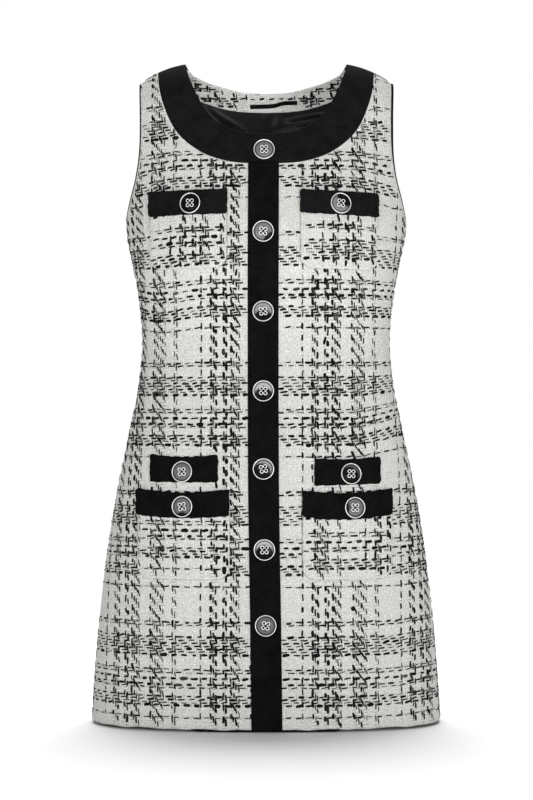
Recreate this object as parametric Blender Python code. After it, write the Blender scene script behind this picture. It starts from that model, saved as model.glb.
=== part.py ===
"""Sleeveless shift dress in checked tweed, kept in the hollow form that it has when worn.

Units are metres. The front faces -Y, +Z is up and the wearer's left is +X. The origin is the
point midway between the two shoulder seams, where the dress hangs from the wearer.
Every piece is worked out from one outer surface: rounded sections through the body whose sizes
are in SECTIONS, rolled over at the top to meet along the shoulder seams.
"""

import math
from collections import namedtuple

import bmesh
import bpy
from mathutils import Vector

# Cloth thicknesses and the clearances between pieces.
TWEED = 0.0022
BAND_CLOTH = 0.0016
LINING_CLOTH = 0.0010
SEAM = 0.0003
ARMHOLE_SEAM = 0.0005
OVERLAY_GAP = 0.0006
STACK_GAP = 0.00035
LINING_GAP = 0.0012
LINING_EASE = 0.0025

# Body sections, hem last. SQUARENESS is 2 for an ellipse and grows towards a box.
SQUARENESS = 2.35
Section = namedtuple("Section", "z half_width front_depth back_depth")
SECTIONS = (
    Section(0.030, 0.1760, 0.050, 0.052),
    Section(-0.020, 0.1775, 0.064, 0.070),
    Section(-0.080, 0.1790, 0.083, 0.086),
    Section(-0.130, 0.1796, 0.0985, 0.091),
    Section(-0.183, 0.1797, 0.1115, 0.090),
    Section(-0.205, 0.1782, 0.1145, 0.088),
    Section(-0.239, 0.1710, 0.1130, 0.082),
    Section(-0.277, 0.1640, 0.1030, 0.076),
    Section(-0.335, 0.1590, 0.0895, 0.071),
    Section(-0.393, 0.1635, 0.092, 0.079),
    Section(-0.451, 0.1750, 0.101, 0.096),
    Section(-0.528, 0.1910, 0.110, 0.110),
    Section(-0.606, 0.2040, 0.114, 0.114),
    Section(-0.683, 0.2130, 0.118, 0.115),
    Section(-0.760, 0.2194, 0.122, 0.117),
    Section(-0.822, 0.2236, 0.125, 0.119),
)
HEM = -0.822
HIP = -0.450
RIB = -0.260
UNDERARM = -0.183
LINING_HEM = -0.8245

# Shoulder line: level beside the neck, then falling off towards the arm.
SHOULDER_TOP = 0.0195
SHOULDER_FLAT = 0.095
SHOULDER_REACH = 0.075
SHOULDER_FALL = 5.84
SHOULDER_ROLL = 0.045

# Edges in front projection, from the centre line to the shoulder or from underarm to shoulder.
NeckRow = namedtuple("NeckRow", "inner_x inner_z outer_x outer_z")
NECK_FRONT = (
    NeckRow(0.0000, -0.0788, 0.0000, -0.1163),
    NeckRow(0.0316, -0.0757, 0.0400, -0.1144),
    NeckRow(0.0510, -0.0686, 0.0720, -0.1055),
    NeckRow(0.0687, -0.0570, 0.0950, -0.0916),
    NeckRow(0.0820, -0.0384, 0.1130, -0.0737),
    NeckRow(0.0910, -0.0213, 0.1250, -0.0513),
    NeckRow(0.1005, 0.0034, 0.1345, -0.0220),
    NeckRow(0.1040, 0.0190, 0.1385, 0.0084),
)
NECK_BACK = (
    NeckRow(0.0000, -0.0120, 0.0000, -0.0490),
    NeckRow(0.0300, -0.0103, 0.0400, -0.0475),
    NeckRow(0.0510, -0.0056, 0.0700, -0.0430),
    NeckRow(0.0700, -0.0008, 0.0950, -0.0340),
    NeckRow(0.0850, 0.0045, 0.1150, -0.0215),
    NeckRow(0.0970, 0.0105, 0.1300, -0.0075),
    NeckRow(0.1040, 0.0190, 0.1385, 0.0084),
)
BAND_COLUMNS = 5
FACING_COLUMNS = 3
ArmRow = namedtuple("ArmRow", "front_x back_x z")
ARMHOLE = (
    ArmRow(0.1797, 0.1797, -0.1830),
    ArmRow(0.1738, 0.1730, -0.1590),
    ArmRow(0.1660, 0.1635, -0.1300),
    ArmRow(0.1614, 0.1580, -0.0950),
    ArmRow(0.1610, 0.1575, -0.0500),
    ArmRow(0.1628, 0.1628, -0.0074),
)
BINDING_WIDTH = 0.0022
BINDING_DEPTH = 0.0042
BINDING_PROUD = 0.0003

# Mesh density of the walls.
SKIRT_ROWS = 8
BODY_ROWS = 9
CHEST_ROWS = 11
CHEST_ROWS_ON_SIDE = 4
NECK_ROWS = 12
TOWARDS_SHOULDER = 1.3
PANEL_COLUMNS = 9
LINING_COLUMNS = 4

# Placket: a strip down the front whose centre line leans a little.
PLACKET_WIDTH = 0.037
PLACKET_TOP = -0.1150
PLACKET_ROWS = 36
LeanRow = namedtuple("LeanRow", "z x")
PLACKET_LEAN = (
    LeanRow(-0.100, -0.0030),
    LeanRow(-0.300, -0.0036),
    LeanRow(-0.500, -0.0032),
    LeanRow(-0.600, -0.0020),
    LeanRow(-0.690, -0.0005),
    LeanRow(-0.822, 0.0012),
)

# Patches on the front. side is +1 for the wearer's left. drop is how far the outer end hangs
# below the inner end, dips are how far the middle of an edge sags, corner rounds the lower corners.
Patch = namedtuple("Patch", "name side inner outer top bottom drop top_dip bottom_dip corner")
POCKETS = (
    Patch("chest_pocket_right", -1, 0.0495, 0.1445, -0.1530, -0.2460, 0.0020, 0.0, 0.0, 0.014),
    Patch("chest_pocket_left", 1, 0.0435, 0.1385, -0.1540, -0.2465, 0.0030, 0.0, 0.0, 0.014),
    Patch("hip_pocket_right", -1, 0.0460, 0.1600, -0.5280, -0.6360, 0.0, 0.0045, 0.0, 0.017),
    Patch("hip_pocket_left", 1, 0.0460, 0.1565, -0.5290, -0.6365, 0.0, 0.0045, 0.0, 0.017),
)
POCKET_BANDS = (
    Patch("chest_band_right", -1, 0.0486, 0.1457, -0.1503, -0.1803, 0.0020, 0.0, 0.0, 0.001),
    Patch("chest_band_left", 1, 0.0427, 0.1393, -0.1508, -0.1795, 0.0035, 0.0, 0.0, 0.001),
    Patch("hip_band_right", -1, 0.0460, 0.1610, -0.5243, -0.5565, 0.0, 0.0050, 0.0030, 0.001),
    Patch("hip_band_left", 1, 0.0455, 0.1567, -0.5260, -0.5575, -0.0015, 0.0045, 0.0045, 0.001),
)
UPPER_BANDS = (
    Patch("upper_hip_band_right", -1, 0.0605, 0.1450, -0.4812, -0.5148, 0.0, 0.0035, 0.0, 0.001),
    Patch("upper_hip_band_left", 1, 0.0608, 0.1430, -0.4863, -0.5190, -0.002, 0.002, 0.0, 0.001),
)
PATCH_CELL = 0.015

# Buttons: a rimmed disc with a dished face and four holes. Places are in front projection.
BUTTON_RADIUS = 0.01325
BUTTON_RIM = 0.0013
BUTTON_HEIGHT = 0.0036
BUTTON_DISH = 0.0024
BUTTON_SIDES = 14
HOLE_RADIUS = 0.0011
HOLE_OFFSET = 0.0027
HOLE_SIDES = 5
ButtonRow = namedtuple("ButtonRow", "name x z seat")
BUTTONS = (
    ButtonRow("button_neck", -0.0024, -0.0992, "cloth"),
    ButtonRow("button_front_1", -0.0035, -0.2029, "band"),
    ButtonRow("button_front_2", -0.0036, -0.3000, "band"),
    ButtonRow("button_front_3", -0.0033, -0.4017, "band"),
    ButtonRow("button_front_4", -0.0032, -0.4989, "band"),
    ButtonRow("button_front_5", -0.0020, -0.5990, "band"),
    ButtonRow("button_front_6", -0.0004, -0.6929, "band"),
    ButtonRow("button_chest_right", -0.0929, -0.1682, "pocket"),
    ButtonRow("button_chest_left", 0.0916, -0.1683, "pocket"),
    ButtonRow("button_upper_hip_right", -0.1037, -0.5027, "band"),
    ButtonRow("button_upper_hip_left", 0.1050, -0.5052, "band"),
    ButtonRow("button_hip_right", -0.1027, -0.5459, "pocket"),
    ButtonRow("button_hip_left", 0.1089, -0.5473, "pocket"),
)
SEATS = {
    "cloth": SEAM,
    "band": OVERLAY_GAP + BAND_CLOTH + SEAM,
    "pocket": OVERLAY_GAP + TWEED + STACK_GAP + BAND_CLOTH + SEAM,
}

# Hanger loop: a narrow strip on the inside of the back neck.
LoopRow = namedtuple("LoopRow", "x z")
HANGER_LOOP = (
    LoopRow(-0.0206, -0.0262),
    LoopRow(0.0089, -0.0250),
    LoopRow(0.0231, -0.0212),
    LoopRow(0.0407, -0.0205),
)
LOOP_WIDTH = 0.0045
LOOP_STEPS = 6

TWEED_COLOUR = (0.70, 0.69, 0.66, 1.0)
BLACK_COLOUR = (0.012, 0.012, 0.014, 1.0)
SATIN_COLOUR = (0.010, 0.010, 0.012, 1.0)
BUTTON_COLOUR = (0.10, 0.10, 0.11, 1.0)


def clear_scene():
    """Remove every object of the open scene."""
    for item in list(bpy.data.objects):
        bpy.data.objects.remove(item, do_unlink=True)


def make_material(name, colour, roughness, metallic):
    """Return a Principled material."""
    material = bpy.data.materials.new(name)
    material.use_nodes = True
    shader = material.node_tree.nodes["Principled BSDF"]
    shader.inputs["Base Color"].default_value = colour
    shader.inputs["Roughness"].default_value = roughness
    shader.inputs["Metallic"].default_value = metallic
    return material


def smooth_curve(keys, values):
    """Return a function that runs a smooth curve through values at rising keys."""
    last = len(keys) - 1
    slopes = []
    for index in range(len(keys)):
        low = max(index - 1, 0)
        high = min(index + 1, last)
        slopes.append((values[high] - values[low]) / (keys[high] - keys[low]))

    def at(key):
        spot = min(max(key, keys[0]), keys[-1])
        index = 0
        while index < last - 1 and spot > keys[index + 1]:
            index += 1
        span = keys[index + 1] - keys[index]
        part = (spot - keys[index]) / span
        rest = 1 - part
        return (values[index] * (1 + 2 * part) * rest * rest
                + values[index + 1] * (3 - 2 * part) * part * part
                + slopes[index] * span * part * rest * rest
                - slopes[index + 1] * span * part * part * rest)

    return at


def section_curve(column):
    """Return one column of SECTIONS as a smooth function of height."""
    rising = sorted(SECTIONS, key=lambda row: row.z)
    return smooth_curve([row.z for row in rising], [getattr(row, column) for row in rising])


half_width = section_curve("half_width")
front_depth = section_curve("front_depth")
back_depth = section_curve("back_depth")


def mix(start, end, share):
    """Return the value a share of the way from start to end."""
    return start + (end - start) * share


def signed_power(value, power):
    """Raise a value to a power and keep its sign."""
    return math.copysign(abs(value) ** power, value)


def shoulder_height(x):
    """Return the height of the shoulder line at x."""
    run = min(max(abs(x) - SHOULDER_FLAT, 0), SHOULDER_REACH)
    return SHOULDER_TOP - SHOULDER_FALL * run * run


def shell_point(around, turn, face):
    """Return a point of the outer surface.

    around is 0 on the centre line and a quarter turn at the side seam. turn is 0 on the shoulder
    line, a quarter turn where the roll over the shoulder ends, and grows evenly below that.
    """
    across = signed_power(math.sin(around), 2 / SQUARENESS)
    forward = signed_power(math.cos(around), 2 / SQUARENESS)
    if abs(turn) < math.pi / 2:
        drop = SHOULDER_ROLL * (1 - math.cos(turn))
        forward *= math.sin(turn)
    else:
        drop = SHOULDER_ROLL * (1 + abs(turn) - math.pi / 2)
    x = half_width(UNDERARM) * across
    for _ in range(10):
        z = shoulder_height(x) - drop
        x = half_width(z) * across
    if face == "front":
        return Vector((x, -front_depth(z) * forward, z))
    return Vector((x, back_depth(z) * forward, z))


def shoulder_lift(x, z):
    """Return how much of its full depth the surface has at x, z, less than 1 in the roll."""
    drop = max(shoulder_height(x) - z, 0)
    if drop >= SHOULDER_ROLL:
        return 1.0
    return math.sin(math.acos(1 - drop / SHOULDER_ROLL))


def angle_around(x, z):
    """Return how far round the section the point at x is."""
    share = min(abs(x) / half_width(z), 1)
    return math.copysign(math.asin(share ** (SQUARENESS / 2)), x)


def surface(x, z, face):
    """Return the point of the outer surface at x, z and its outward normal."""
    around = angle_around(x, z)
    drop = max(shoulder_height(x) - z, 0)
    if drop < SHOULDER_ROLL:
        turn = math.acos(1 - drop / SHOULDER_ROLL)
    else:
        turn = math.pi / 2 + drop / SHOULDER_ROLL - 1
    step = 0.001
    along = shell_point(around + step, turn, face) - shell_point(around - step, turn, face)
    upward = shell_point(around, turn - step, face) - shell_point(around, turn + step, face)
    normal = along.cross(upward).normalized()
    if face == "back":
        normal = -normal
    return shell_point(around, turn, face), normal


def seam_surface(x, z, face):
    """Return the surface at a side or shoulder seam, half a seam gap off the middle plane."""
    place, normal = surface(x, z, face)
    place.y = -SEAM / 2 if face == "front" else SEAM / 2
    normal.y = 0
    return place, normal.normalized()


def edge_points(knots, face, shares):
    """Return x, z at shares of the length of the curve through knots on the surface."""
    order = list(range(len(knots)))
    x_at = smooth_curve(order, [knot[0] for knot in knots])
    z_at = smooth_curve(order, [knot[1] for knot in knots])
    fine = 60 * order[-1]
    flat = [(x_at(i * order[-1] / fine), z_at(i * order[-1] / fine)) for i in range(fine + 1)]
    places = [surface(x, z, face)[0] for x, z in flat]
    lengths = [0.0]
    for before, after in zip(places, places[1:]):
        lengths.append(lengths[-1] + (after - before).length)
    picked = []
    for share in shares:
        target = share * lengths[-1]
        index = 0
        while index < fine - 1 and lengths[index + 1] < target:
            index += 1
        part = (target - lengths[index]) / (lengths[index + 1] - lengths[index])
        part = min(max(part, 0), 1)
        picked.append((mix(flat[index][0], flat[index + 1][0], part),
                       mix(flat[index][1], flat[index + 1][1], part)))
    return picked


def moved_in_projection(points, distance):
    """Move a run of x, z points to its right-hand side, seen from the front."""
    moved = []
    for index, (x, z) in enumerate(points):
        before = points[max(index - 1, 0)]
        after = points[min(index + 1, len(points) - 1)]
        run = Vector((after[0] - before[0], after[1] - before[1])).normalized()
        moved.append((x + run.y * distance, z - run.x * distance))
    return moved


def nearest_on_surface(place, face):
    """Return x, z of the surface point at a place's height and angle round the section."""
    depth = front_depth(place.z) if face == "front" else back_depth(place.z)
    depth *= shoulder_lift(place.x, place.z)
    across = abs(place.x / half_width(place.z)) ** (SQUARENESS / 2)
    forward = abs(place.y / depth) ** (SQUARENESS / 2)
    around = math.atan2(across, forward)
    return half_width(place.z) * math.sin(around) ** (2 / SQUARENESS), place.z


def moved_on_surface(points, distance, face):
    """Move the armhole's x, z points into the cloth by a distance along the surface."""
    if distance == 0:
        return list(points)
    places = [surface(x, z, face)[0] for x, z in points]
    moved = []
    for index, (x, z) in enumerate(points):
        before = places[max(index - 1, 0)]
        after = places[min(index + 1, len(points) - 1)]
        normal = surface(x, z, face)[1]
        inward = (after - before).cross(normal).normalized()
        if face == "front":
            inward = -inward
        moved.append(nearest_on_surface(places[index] + inward * distance, face))
    low_z = points[0][1] - distance
    tip_x = points[-1][0] - distance
    moved[0] = (half_width(low_z), low_z)
    moved[-1] = (tip_x, shoulder_height(tip_x))
    return moved


def neck_shares():
    """Return the shares of the neck's length where rows meet it, closer near the shoulder."""
    return [1 - (1 - k / NECK_ROWS) ** TOWARDS_SHOULDER for k in range(NECK_ROWS + 1)]


def neck_edge(face, column, inset=0.0):
    """Return the neck's inner or outer edge as x, z points from the centre to the shoulder."""
    rows = NECK_FRONT if face == "front" else NECK_BACK
    knots = [(getattr(row, column + "_x"), getattr(row, column + "_z")) for row in rows]
    return neck_inset(edge_points(knots, face, neck_shares()), inset)


def neck_inset(edge, inset):
    """Move a neck edge into the cloth, its ends kept on the centre line and the shoulder."""
    points = moved_in_projection(edge, inset)
    points[0] = (0.0, points[0][1])
    end_x = points[-1][0]
    points[-1] = (end_x, shoulder_height(end_x))
    return points


def armhole_edge(face, inset=0.0):
    """Return the armhole's edge as x, z points from the underarm to the shoulder."""
    column = "front_x" if face == "front" else "back_x"
    knots = [(getattr(row, column), row.z) for row in ARMHOLE]
    lower = CHEST_ROWS - CHEST_ROWS_ON_SIDE
    total = lower + NECK_ROWS
    start = lower / total
    shares = [k / total for k in range(lower)]
    shares += [mix(start, 1, share) for share in neck_shares()]
    return moved_on_surface(edge_points(knots, face, shares), inset, face)


RowEnds = namedtuple("RowEnds", "inner outer shoulder_share")


def row_ends(neck, armhole, hem):
    """Return both ends of every row of half a panel, hem first."""
    levels = [mix(hem, HIP, k / SKIRT_ROWS) for k in range(SKIRT_ROWS)]
    levels += [mix(HIP, RIB, k / BODY_ROWS) for k in range(BODY_ROWS)]
    rows = [RowEnds((0.0, z), (half_width(z), z), 0.0) for z in levels]
    side = [mix(RIB, armhole[0][1], k / CHEST_ROWS_ON_SIDE) for k in range(CHEST_ROWS_ON_SIDE)]
    outer = [(half_width(z), z) for z in side] + list(armhole)
    for k in range(CHEST_ROWS):
        rows.append(RowEnds((0.0, mix(RIB, neck[0][1], k / CHEST_ROWS)), outer[k], 0.0))
    for k in range(NECK_ROWS + 1):
        rows.append(RowEnds(neck[k], outer[CHEST_ROWS + k], (k / NECK_ROWS) ** 2))
    return rows


def row_point(ends, share):
    """Return x, z a share of the way along a row."""
    around = mix(angle_around(*ends.inner), angle_around(*ends.outer), share)
    level = mix(ends.inner[1], ends.outer[1], share)
    across = signed_power(math.sin(around), 2 / SQUARENESS)
    x = half_width(level) * across
    straight = mix(shoulder_height(ends.inner[0]), shoulder_height(ends.outer[0]), share)
    return x, level + ends.shoulder_share * (shoulder_height(x) - straight)


def make_object(name, mesh_data, material):
    """Turn a bmesh into a named, smooth-shaded object."""
    mesh = bpy.data.meshes.new(name)
    mesh_data.to_mesh(mesh)
    mesh_data.free()
    mesh.shade_smooth()
    mesh.set_sharp_from_angle(angle=math.radians(40))
    mesh.materials.append(material)
    item = bpy.data.objects.new(name, mesh)
    bpy.context.scene.collection.objects.link(item)
    return item


def wall(name, points, faces, material):
    """Make a closed wall.

    points gives each key its outer and inner place. faces are loops of keys, anticlockwise seen
    from outside. Every edge that only one face uses gets a face across the thickness.
    """
    mesh_data = bmesh.new()
    outer = {key: mesh_data.verts.new(pair[0]) for key, pair in points.items()}
    inner = {key: mesh_data.verts.new(pair[1]) for key, pair in points.items()}
    edges = set()
    for loop in faces:
        mesh_data.faces.new([outer[key] for key in loop])
        mesh_data.faces.new([inner[key] for key in reversed(loop)])
        edges.update(zip(loop, loop[1:] + loop[:1]))
    for start, end in edges:
        if (end, start) not in edges:
            mesh_data.faces.new((outer[end], outer[start], inner[start], inner[end]))
    return make_object(name, mesh_data, material)


def panel(name, face, rows, columns, depth_at, thickness, material):
    """Make a panel from row ends of its right half. depth_at gives how deep each point lies."""
    points = {}
    faces = []
    last_row = len(rows) - 1
    first_split = last_row - NECK_ROWS + 1
    for side in (1, -1):
        for row, ends in enumerate(rows):
            for column in range(columns + 1):
                share = column / columns
                x, z = row_point(ends, share)
                on_side = column == columns and row <= last_row - NECK_ROWS - (
                    CHEST_ROWS - CHEST_ROWS_ON_SIDE)
                if on_side or row == last_row:
                    place, normal = seam_surface(side * x, z, face)
                else:
                    place, normal = surface(side * x, z, face)
                depth = depth_at(row / last_row, share)
                key = (side, column, row)
                if column == 0 and row < first_split:
                    key = (0, 0, row)
                points[key] = (place - normal * depth, place - normal * (depth + thickness))
        outward = (side == 1) == (face == "front")
        for row in range(last_row):
            for column in range(columns):
                loop = []
                for c, r in ((column, row), (column + 1, row), (column + 1, row + 1),
                             (column, row + 1)):
                    shared = c == 0 and r < first_split
                    loop.append((0, 0, r) if shared else (side, c, r))
                faces.append(loop if outward else loop[::-1])
    return wall(name, points, faces, material)


def strip(name, face, start_edge, end_edge, columns, depth, thickness, material):
    """Make a strip that follows the neck between two edges, from shoulder to shoulder."""
    points = {}
    faces = []
    last = len(start_edge) - 1
    for rung in range(-last, last + 1):
        side = 1 if rung >= 0 else -1
        start = start_edge[abs(rung)]
        end = end_edge[abs(rung)]
        for column in range(columns + 1):
            x = mix(start[0], end[0], column / columns)
            if abs(rung) == last:
                place, normal = seam_surface(side * x, shoulder_height(x), face)
            else:
                place, normal = surface(side * x, mix(start[1], end[1], column / columns), face)
            points[rung, column] = (place - normal * depth, place - normal * (depth + thickness))
    for rung in range(-last, last):
        for column in range(columns):
            loop = [(rung, column), (rung, column + 1), (rung + 1, column + 1), (rung + 1, column)]
            faces.append(loop if face == "front" else loop[::-1])
    return wall(name, points, faces, material)


def binding(name, side, material):
    """Make the binding that closes an armhole's edge, a ring through front and back."""
    ring = []
    for face in ("front", "back"):
        edge = armhole_edge(face)
        inset = moved_on_surface(edge, BINDING_WIDTH, face)
        pairs = list(zip(edge, inset))
        if face == "back":
            pairs = pairs[-2:0:-1]
        for pair in pairs:
            rung = []
            for x, z in pair:
                on_seam = face == "front" and pair in (pairs[0], pairs[-1])
                place, normal = surface(side * x, z, face)
                if on_seam:
                    place.y = 0
                    normal.y = 0
                    normal.normalize()
                rung.append((place + normal * BINDING_PROUD,
                             place + normal * (BINDING_PROUD - BINDING_DEPTH)))
            ring.append(rung)
    points = {}
    faces = []
    for index, rung in enumerate(ring):
        following = (index + 1) % len(ring)
        points[index, 0] = rung[0]
        points[index, 1] = rung[1]
        loop = [(index, 0), (following, 0), (following, 1), (index, 1)]
        faces.append(loop if side == 1 else loop[::-1])
    return wall(name, points, faces, material)


def corner_inset(height, radius):
    """Return how far a rounded lower corner pulls the side in at a height above the bottom."""
    if height >= radius:
        return 0.0
    return radius - math.sqrt(radius * radius - (radius - height) ** 2)


def patch_piece(patch, lift, thickness, material):
    """Make a patch from the front's surface, moved out by lift."""
    width = patch.outer - patch.inner
    height = patch.top - patch.bottom
    columns = max(2, round(width / PATCH_CELL))
    corner_levels = [0.0, 0.15 * patch.corner, 0.5 * patch.corner]
    steps = max(1, round((height - patch.corner) / PATCH_CELL))
    levels = corner_levels + [mix(patch.corner, height, k / steps) for k in range(steps + 1)]
    points = {}
    faces = []
    for row, level in enumerate(levels):
        pull = corner_inset(level, patch.corner)
        for column in range(columns + 1):
            x = mix(patch.inner + pull, patch.outer - pull, column / columns)
            share = (x - patch.inner) / width
            sag = mix(patch.bottom_dip, patch.top_dip, level / height)
            z = patch.bottom + level - patch.drop * share - sag * math.sin(math.pi * share)
            place, normal = surface(patch.side * x, z, "front")
            points[column, row] = (place + normal * (lift + thickness), place + normal * lift)
    for row in range(len(levels) - 1):
        for column in range(columns):
            loop = [(column, row), (column + 1, row), (column + 1, row + 1), (column, row + 1)]
            faces.append(loop if patch.side == 1 else loop[::-1])
    return wall(patch.name, points, faces, material)


def placket(material):
    """Make the strip down the centre front."""
    rising = sorted(PLACKET_LEAN, key=lambda row: row.z)
    lean = smooth_curve([row.z for row in rising], [row.x for row in rising])
    points = {}
    faces = []
    for row in range(PLACKET_ROWS + 1):
        z = mix(HEM, PLACKET_TOP, row / PLACKET_ROWS)
        for column in range(3):
            x = lean(z) + PLACKET_WIDTH * (column - 1) / 2
            place, normal = surface(x, z, "front")
            points[column, row] = (place + normal * (OVERLAY_GAP + BAND_CLOTH),
                                   place + normal * OVERLAY_GAP)
    for row in range(PLACKET_ROWS):
        for column in range(2):
            faces.append([(column, row), (column + 1, row), (column + 1, row + 1),
                          (column, row + 1)])
    return wall("placket_band", points, faces, material)


def hanger_loop(depth, material):
    """Make the hanger loop that lies on the inside of the back neck facing."""
    order = list(range(len(HANGER_LOOP)))
    x_at = smooth_curve(order, [row.x for row in HANGER_LOOP])
    z_at = smooth_curve(order, [row.z for row in HANGER_LOOP])
    points = {}
    faces = []
    for step in range(LOOP_STEPS + 1):
        spot = order[-1] * step / LOOP_STEPS
        for edge in (0, 1):
            z = z_at(spot) + LOOP_WIDTH * (edge - 0.5)
            place, normal = surface(x_at(spot), z, "back")
            points[step, edge] = (place - normal * depth, place - normal * (depth + LINING_CLOTH))
    for step in range(LOOP_STEPS):
        faces.append([(step, 0), (step, 1), (step + 1, 1), (step + 1, 0)])
    return wall("hanger_loop", points, faces, material)


def button_mesh(material):
    """Make the mesh of one button, its flat back at z = 0 and its face towards +Z."""
    profile = (
        (BUTTON_RADIUS * 0.90, 0.0),
        (BUTTON_RADIUS, 0.3 * BUTTON_HEIGHT),
        (BUTTON_RADIUS - 0.3 * BUTTON_RIM, BUTTON_HEIGHT),
        (BUTTON_RADIUS - BUTTON_RIM, BUTTON_HEIGHT),
        (BUTTON_RADIUS - 1.6 * BUTTON_RIM, BUTTON_DISH),
    )
    mesh_data = bmesh.new()
    rings = []
    for radius, height in profile:
        turns = [2 * math.pi * k / BUTTON_SIDES for k in range(BUTTON_SIDES)]
        rings.append([mesh_data.verts.new((radius * math.cos(a), radius * math.sin(a), height))
                      for a in turns])
    mesh_data.faces.new(rings[0][::-1])
    mesh_data.faces.new(rings[-1])
    for lower, upper in zip(rings, rings[1:]):
        for k in range(BUTTON_SIDES):
            after = (k + 1) % BUTTON_SIDES
            mesh_data.faces.new((lower[k], lower[after], upper[after], upper[k]))
    blank = make_object("button_blank", mesh_data, material)
    for index in range(4):
        angle = math.pi / 4 + index * math.pi / 2
        centre = Vector((math.cos(angle), math.sin(angle), 0)) * HOLE_OFFSET * math.sqrt(2)
        drill_data = bmesh.new()
        bmesh.ops.create_cone(drill_data, cap_ends=True, segments=HOLE_SIDES, radius1=HOLE_RADIUS,
                              radius2=HOLE_RADIUS, depth=4 * BUTTON_HEIGHT)
        drill = make_object(f"drill_{index}", drill_data, material)
        drill.location = centre
        drill.hide_render = True
        drill.display_type = "WIRE"
        cut = blank.modifiers.new(f"hole_{index}", "BOOLEAN")
        cut.operation = "DIFFERENCE"
        cut.object = drill
    graph = bpy.context.evaluated_depsgraph_get()
    drilled = bpy.data.meshes.new_from_object(blank.evaluated_get(graph))
    for item in [blank] + [bpy.data.objects[f"drill_{index}"] for index in range(4)]:
        bpy.data.objects.remove(item, do_unlink=True)
    return drilled


def place_buttons(material):
    """Seat a button at each place in BUTTONS, its back parallel to the cloth."""
    mesh = button_mesh(material)
    for row in BUTTONS:
        place, normal = surface(row.x, row.z, "front")
        item = bpy.data.objects.new(row.name, mesh)
        item.location = place + normal * SEATS[row.seat]
        item.rotation_mode = "QUATERNION"
        item.rotation_quaternion = normal.to_track_quat("Z", "Y")
        bpy.context.scene.collection.objects.link(item)


def main():
    """Make every piece of the dress."""
    clear_scene()
    tweed = make_material("tweed", TWEED_COLOUR, 0.95, 0.0)
    black = make_material("black_band", BLACK_COLOUR, 0.85, 0.0)
    satin = make_material("lining_satin", SATIN_COLOUR, 0.35, 0.0)
    horn = make_material("button", BUTTON_COLOUR, 0.25, 0.4)

    cloth_edge = BINDING_WIDTH + ARMHOLE_SEAM
    lining_edge = cloth_edge + LINING_GAP
    lining_depth = TWEED + LINING_GAP
    facing_depth = TWEED + OVERLAY_GAP
    for face in ("front", "back"):
        neck_top = neck_edge(face, "inner")
        neck_seam = neck_edge(face, "outer")
        strip(f"neck_band_{face}", face, neck_top, neck_seam, BAND_COLUMNS, 0.0, TWEED, black)
        rows = row_ends(neck_inset(neck_seam, SEAM), armhole_edge(face, cloth_edge), HEM)
        panel(face, face, rows, PANEL_COLUMNS, lambda up, out: 0.0, TWEED, tweed)
        if face == "front":
            lining_neck = neck_inset(neck_top, LINING_GAP)
        else:
            share = FACING_COLUMNS / BAND_COLUMNS
            facing_end = [(mix(start[0], end[0], share), mix(start[1], end[1], share))
                          for start, end in zip(neck_top, neck_seam)]
            strip("back_neck_facing", face, neck_inset(neck_top, OVERLAY_GAP), facing_end,
                  FACING_COLUMNS, facing_depth, TWEED, tweed)
            lining_neck = neck_inset(facing_end, ARMHOLE_SEAM)
        lining_rows = row_ends(lining_neck, armhole_edge(face, lining_edge), LINING_HEM)
        panel(f"lining_{face}", face, lining_rows, LINING_COLUMNS,
              lambda up, out: lining_depth + LINING_EASE * math.sin(math.pi * up) * (1 - out),
              LINING_CLOTH, satin)

    binding("armhole_binding_left", 1, black)
    binding("armhole_binding_right", -1, black)
    placket(black)
    for patch in POCKETS:
        patch_piece(patch, OVERLAY_GAP, TWEED, tweed)
    for patch in POCKET_BANDS:
        patch_piece(patch, OVERLAY_GAP + TWEED + STACK_GAP, BAND_CLOTH, black)
    for patch in UPPER_BANDS:
        patch_piece(patch, OVERLAY_GAP, BAND_CLOTH, black)
    hanger_loop(facing_depth + TWEED + OVERLAY_GAP, satin)
    place_buttons(horn)


main()
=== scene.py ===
"""The look of a sleeveless shift dress in checked tweed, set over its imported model.

Units are metres. The front faces -Y, +Z is up and the wearer's left is +X. Every cloth piece is
worked out from one outer surface, whose sizes are in SECTIONS, and lies a set lift off it.
Seen from outside, columns run away from the centre line and rows run from the hem to the shoulder.
"""

import math
from collections import namedtuple

import bpy
import numpy as np
from mathutils import Matrix


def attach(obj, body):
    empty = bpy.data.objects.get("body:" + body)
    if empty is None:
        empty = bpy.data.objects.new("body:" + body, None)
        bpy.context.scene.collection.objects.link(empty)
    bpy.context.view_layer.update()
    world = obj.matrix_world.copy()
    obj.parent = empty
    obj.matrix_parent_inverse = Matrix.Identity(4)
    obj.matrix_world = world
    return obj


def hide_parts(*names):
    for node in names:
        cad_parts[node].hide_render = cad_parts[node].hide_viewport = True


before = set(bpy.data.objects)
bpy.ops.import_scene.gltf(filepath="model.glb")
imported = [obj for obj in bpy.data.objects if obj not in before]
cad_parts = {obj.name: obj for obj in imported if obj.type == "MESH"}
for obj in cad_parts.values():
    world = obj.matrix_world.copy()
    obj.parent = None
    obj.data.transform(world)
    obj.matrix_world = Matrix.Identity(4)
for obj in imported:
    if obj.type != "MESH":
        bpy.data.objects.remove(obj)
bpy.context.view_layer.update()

RANDOM = np.random.default_rng(20)
BODY = "root"
# The direction along Y that each face of the dress looks in.
TOWARDS = {"front": -1, "back": 1}


def table(columns, *rows):
    """Return rows of values under named columns."""
    row_type = namedtuple("Row", columns)
    return [row_type(*row) for row in rows]


# Cloth thicknesses and the clearances between pieces.
TWEED = 0.0022
BAND_CLOTH = 0.0016
LINING_CLOTH = 0.0010
SEAM = 0.0003
ARMHOLE_SEAM = 0.0005
OVERLAY_GAP = 0.0006
STACK_GAP = 0.00035
LINING_GAP = 0.0012
LINING_EASE = 0.0025

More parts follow.
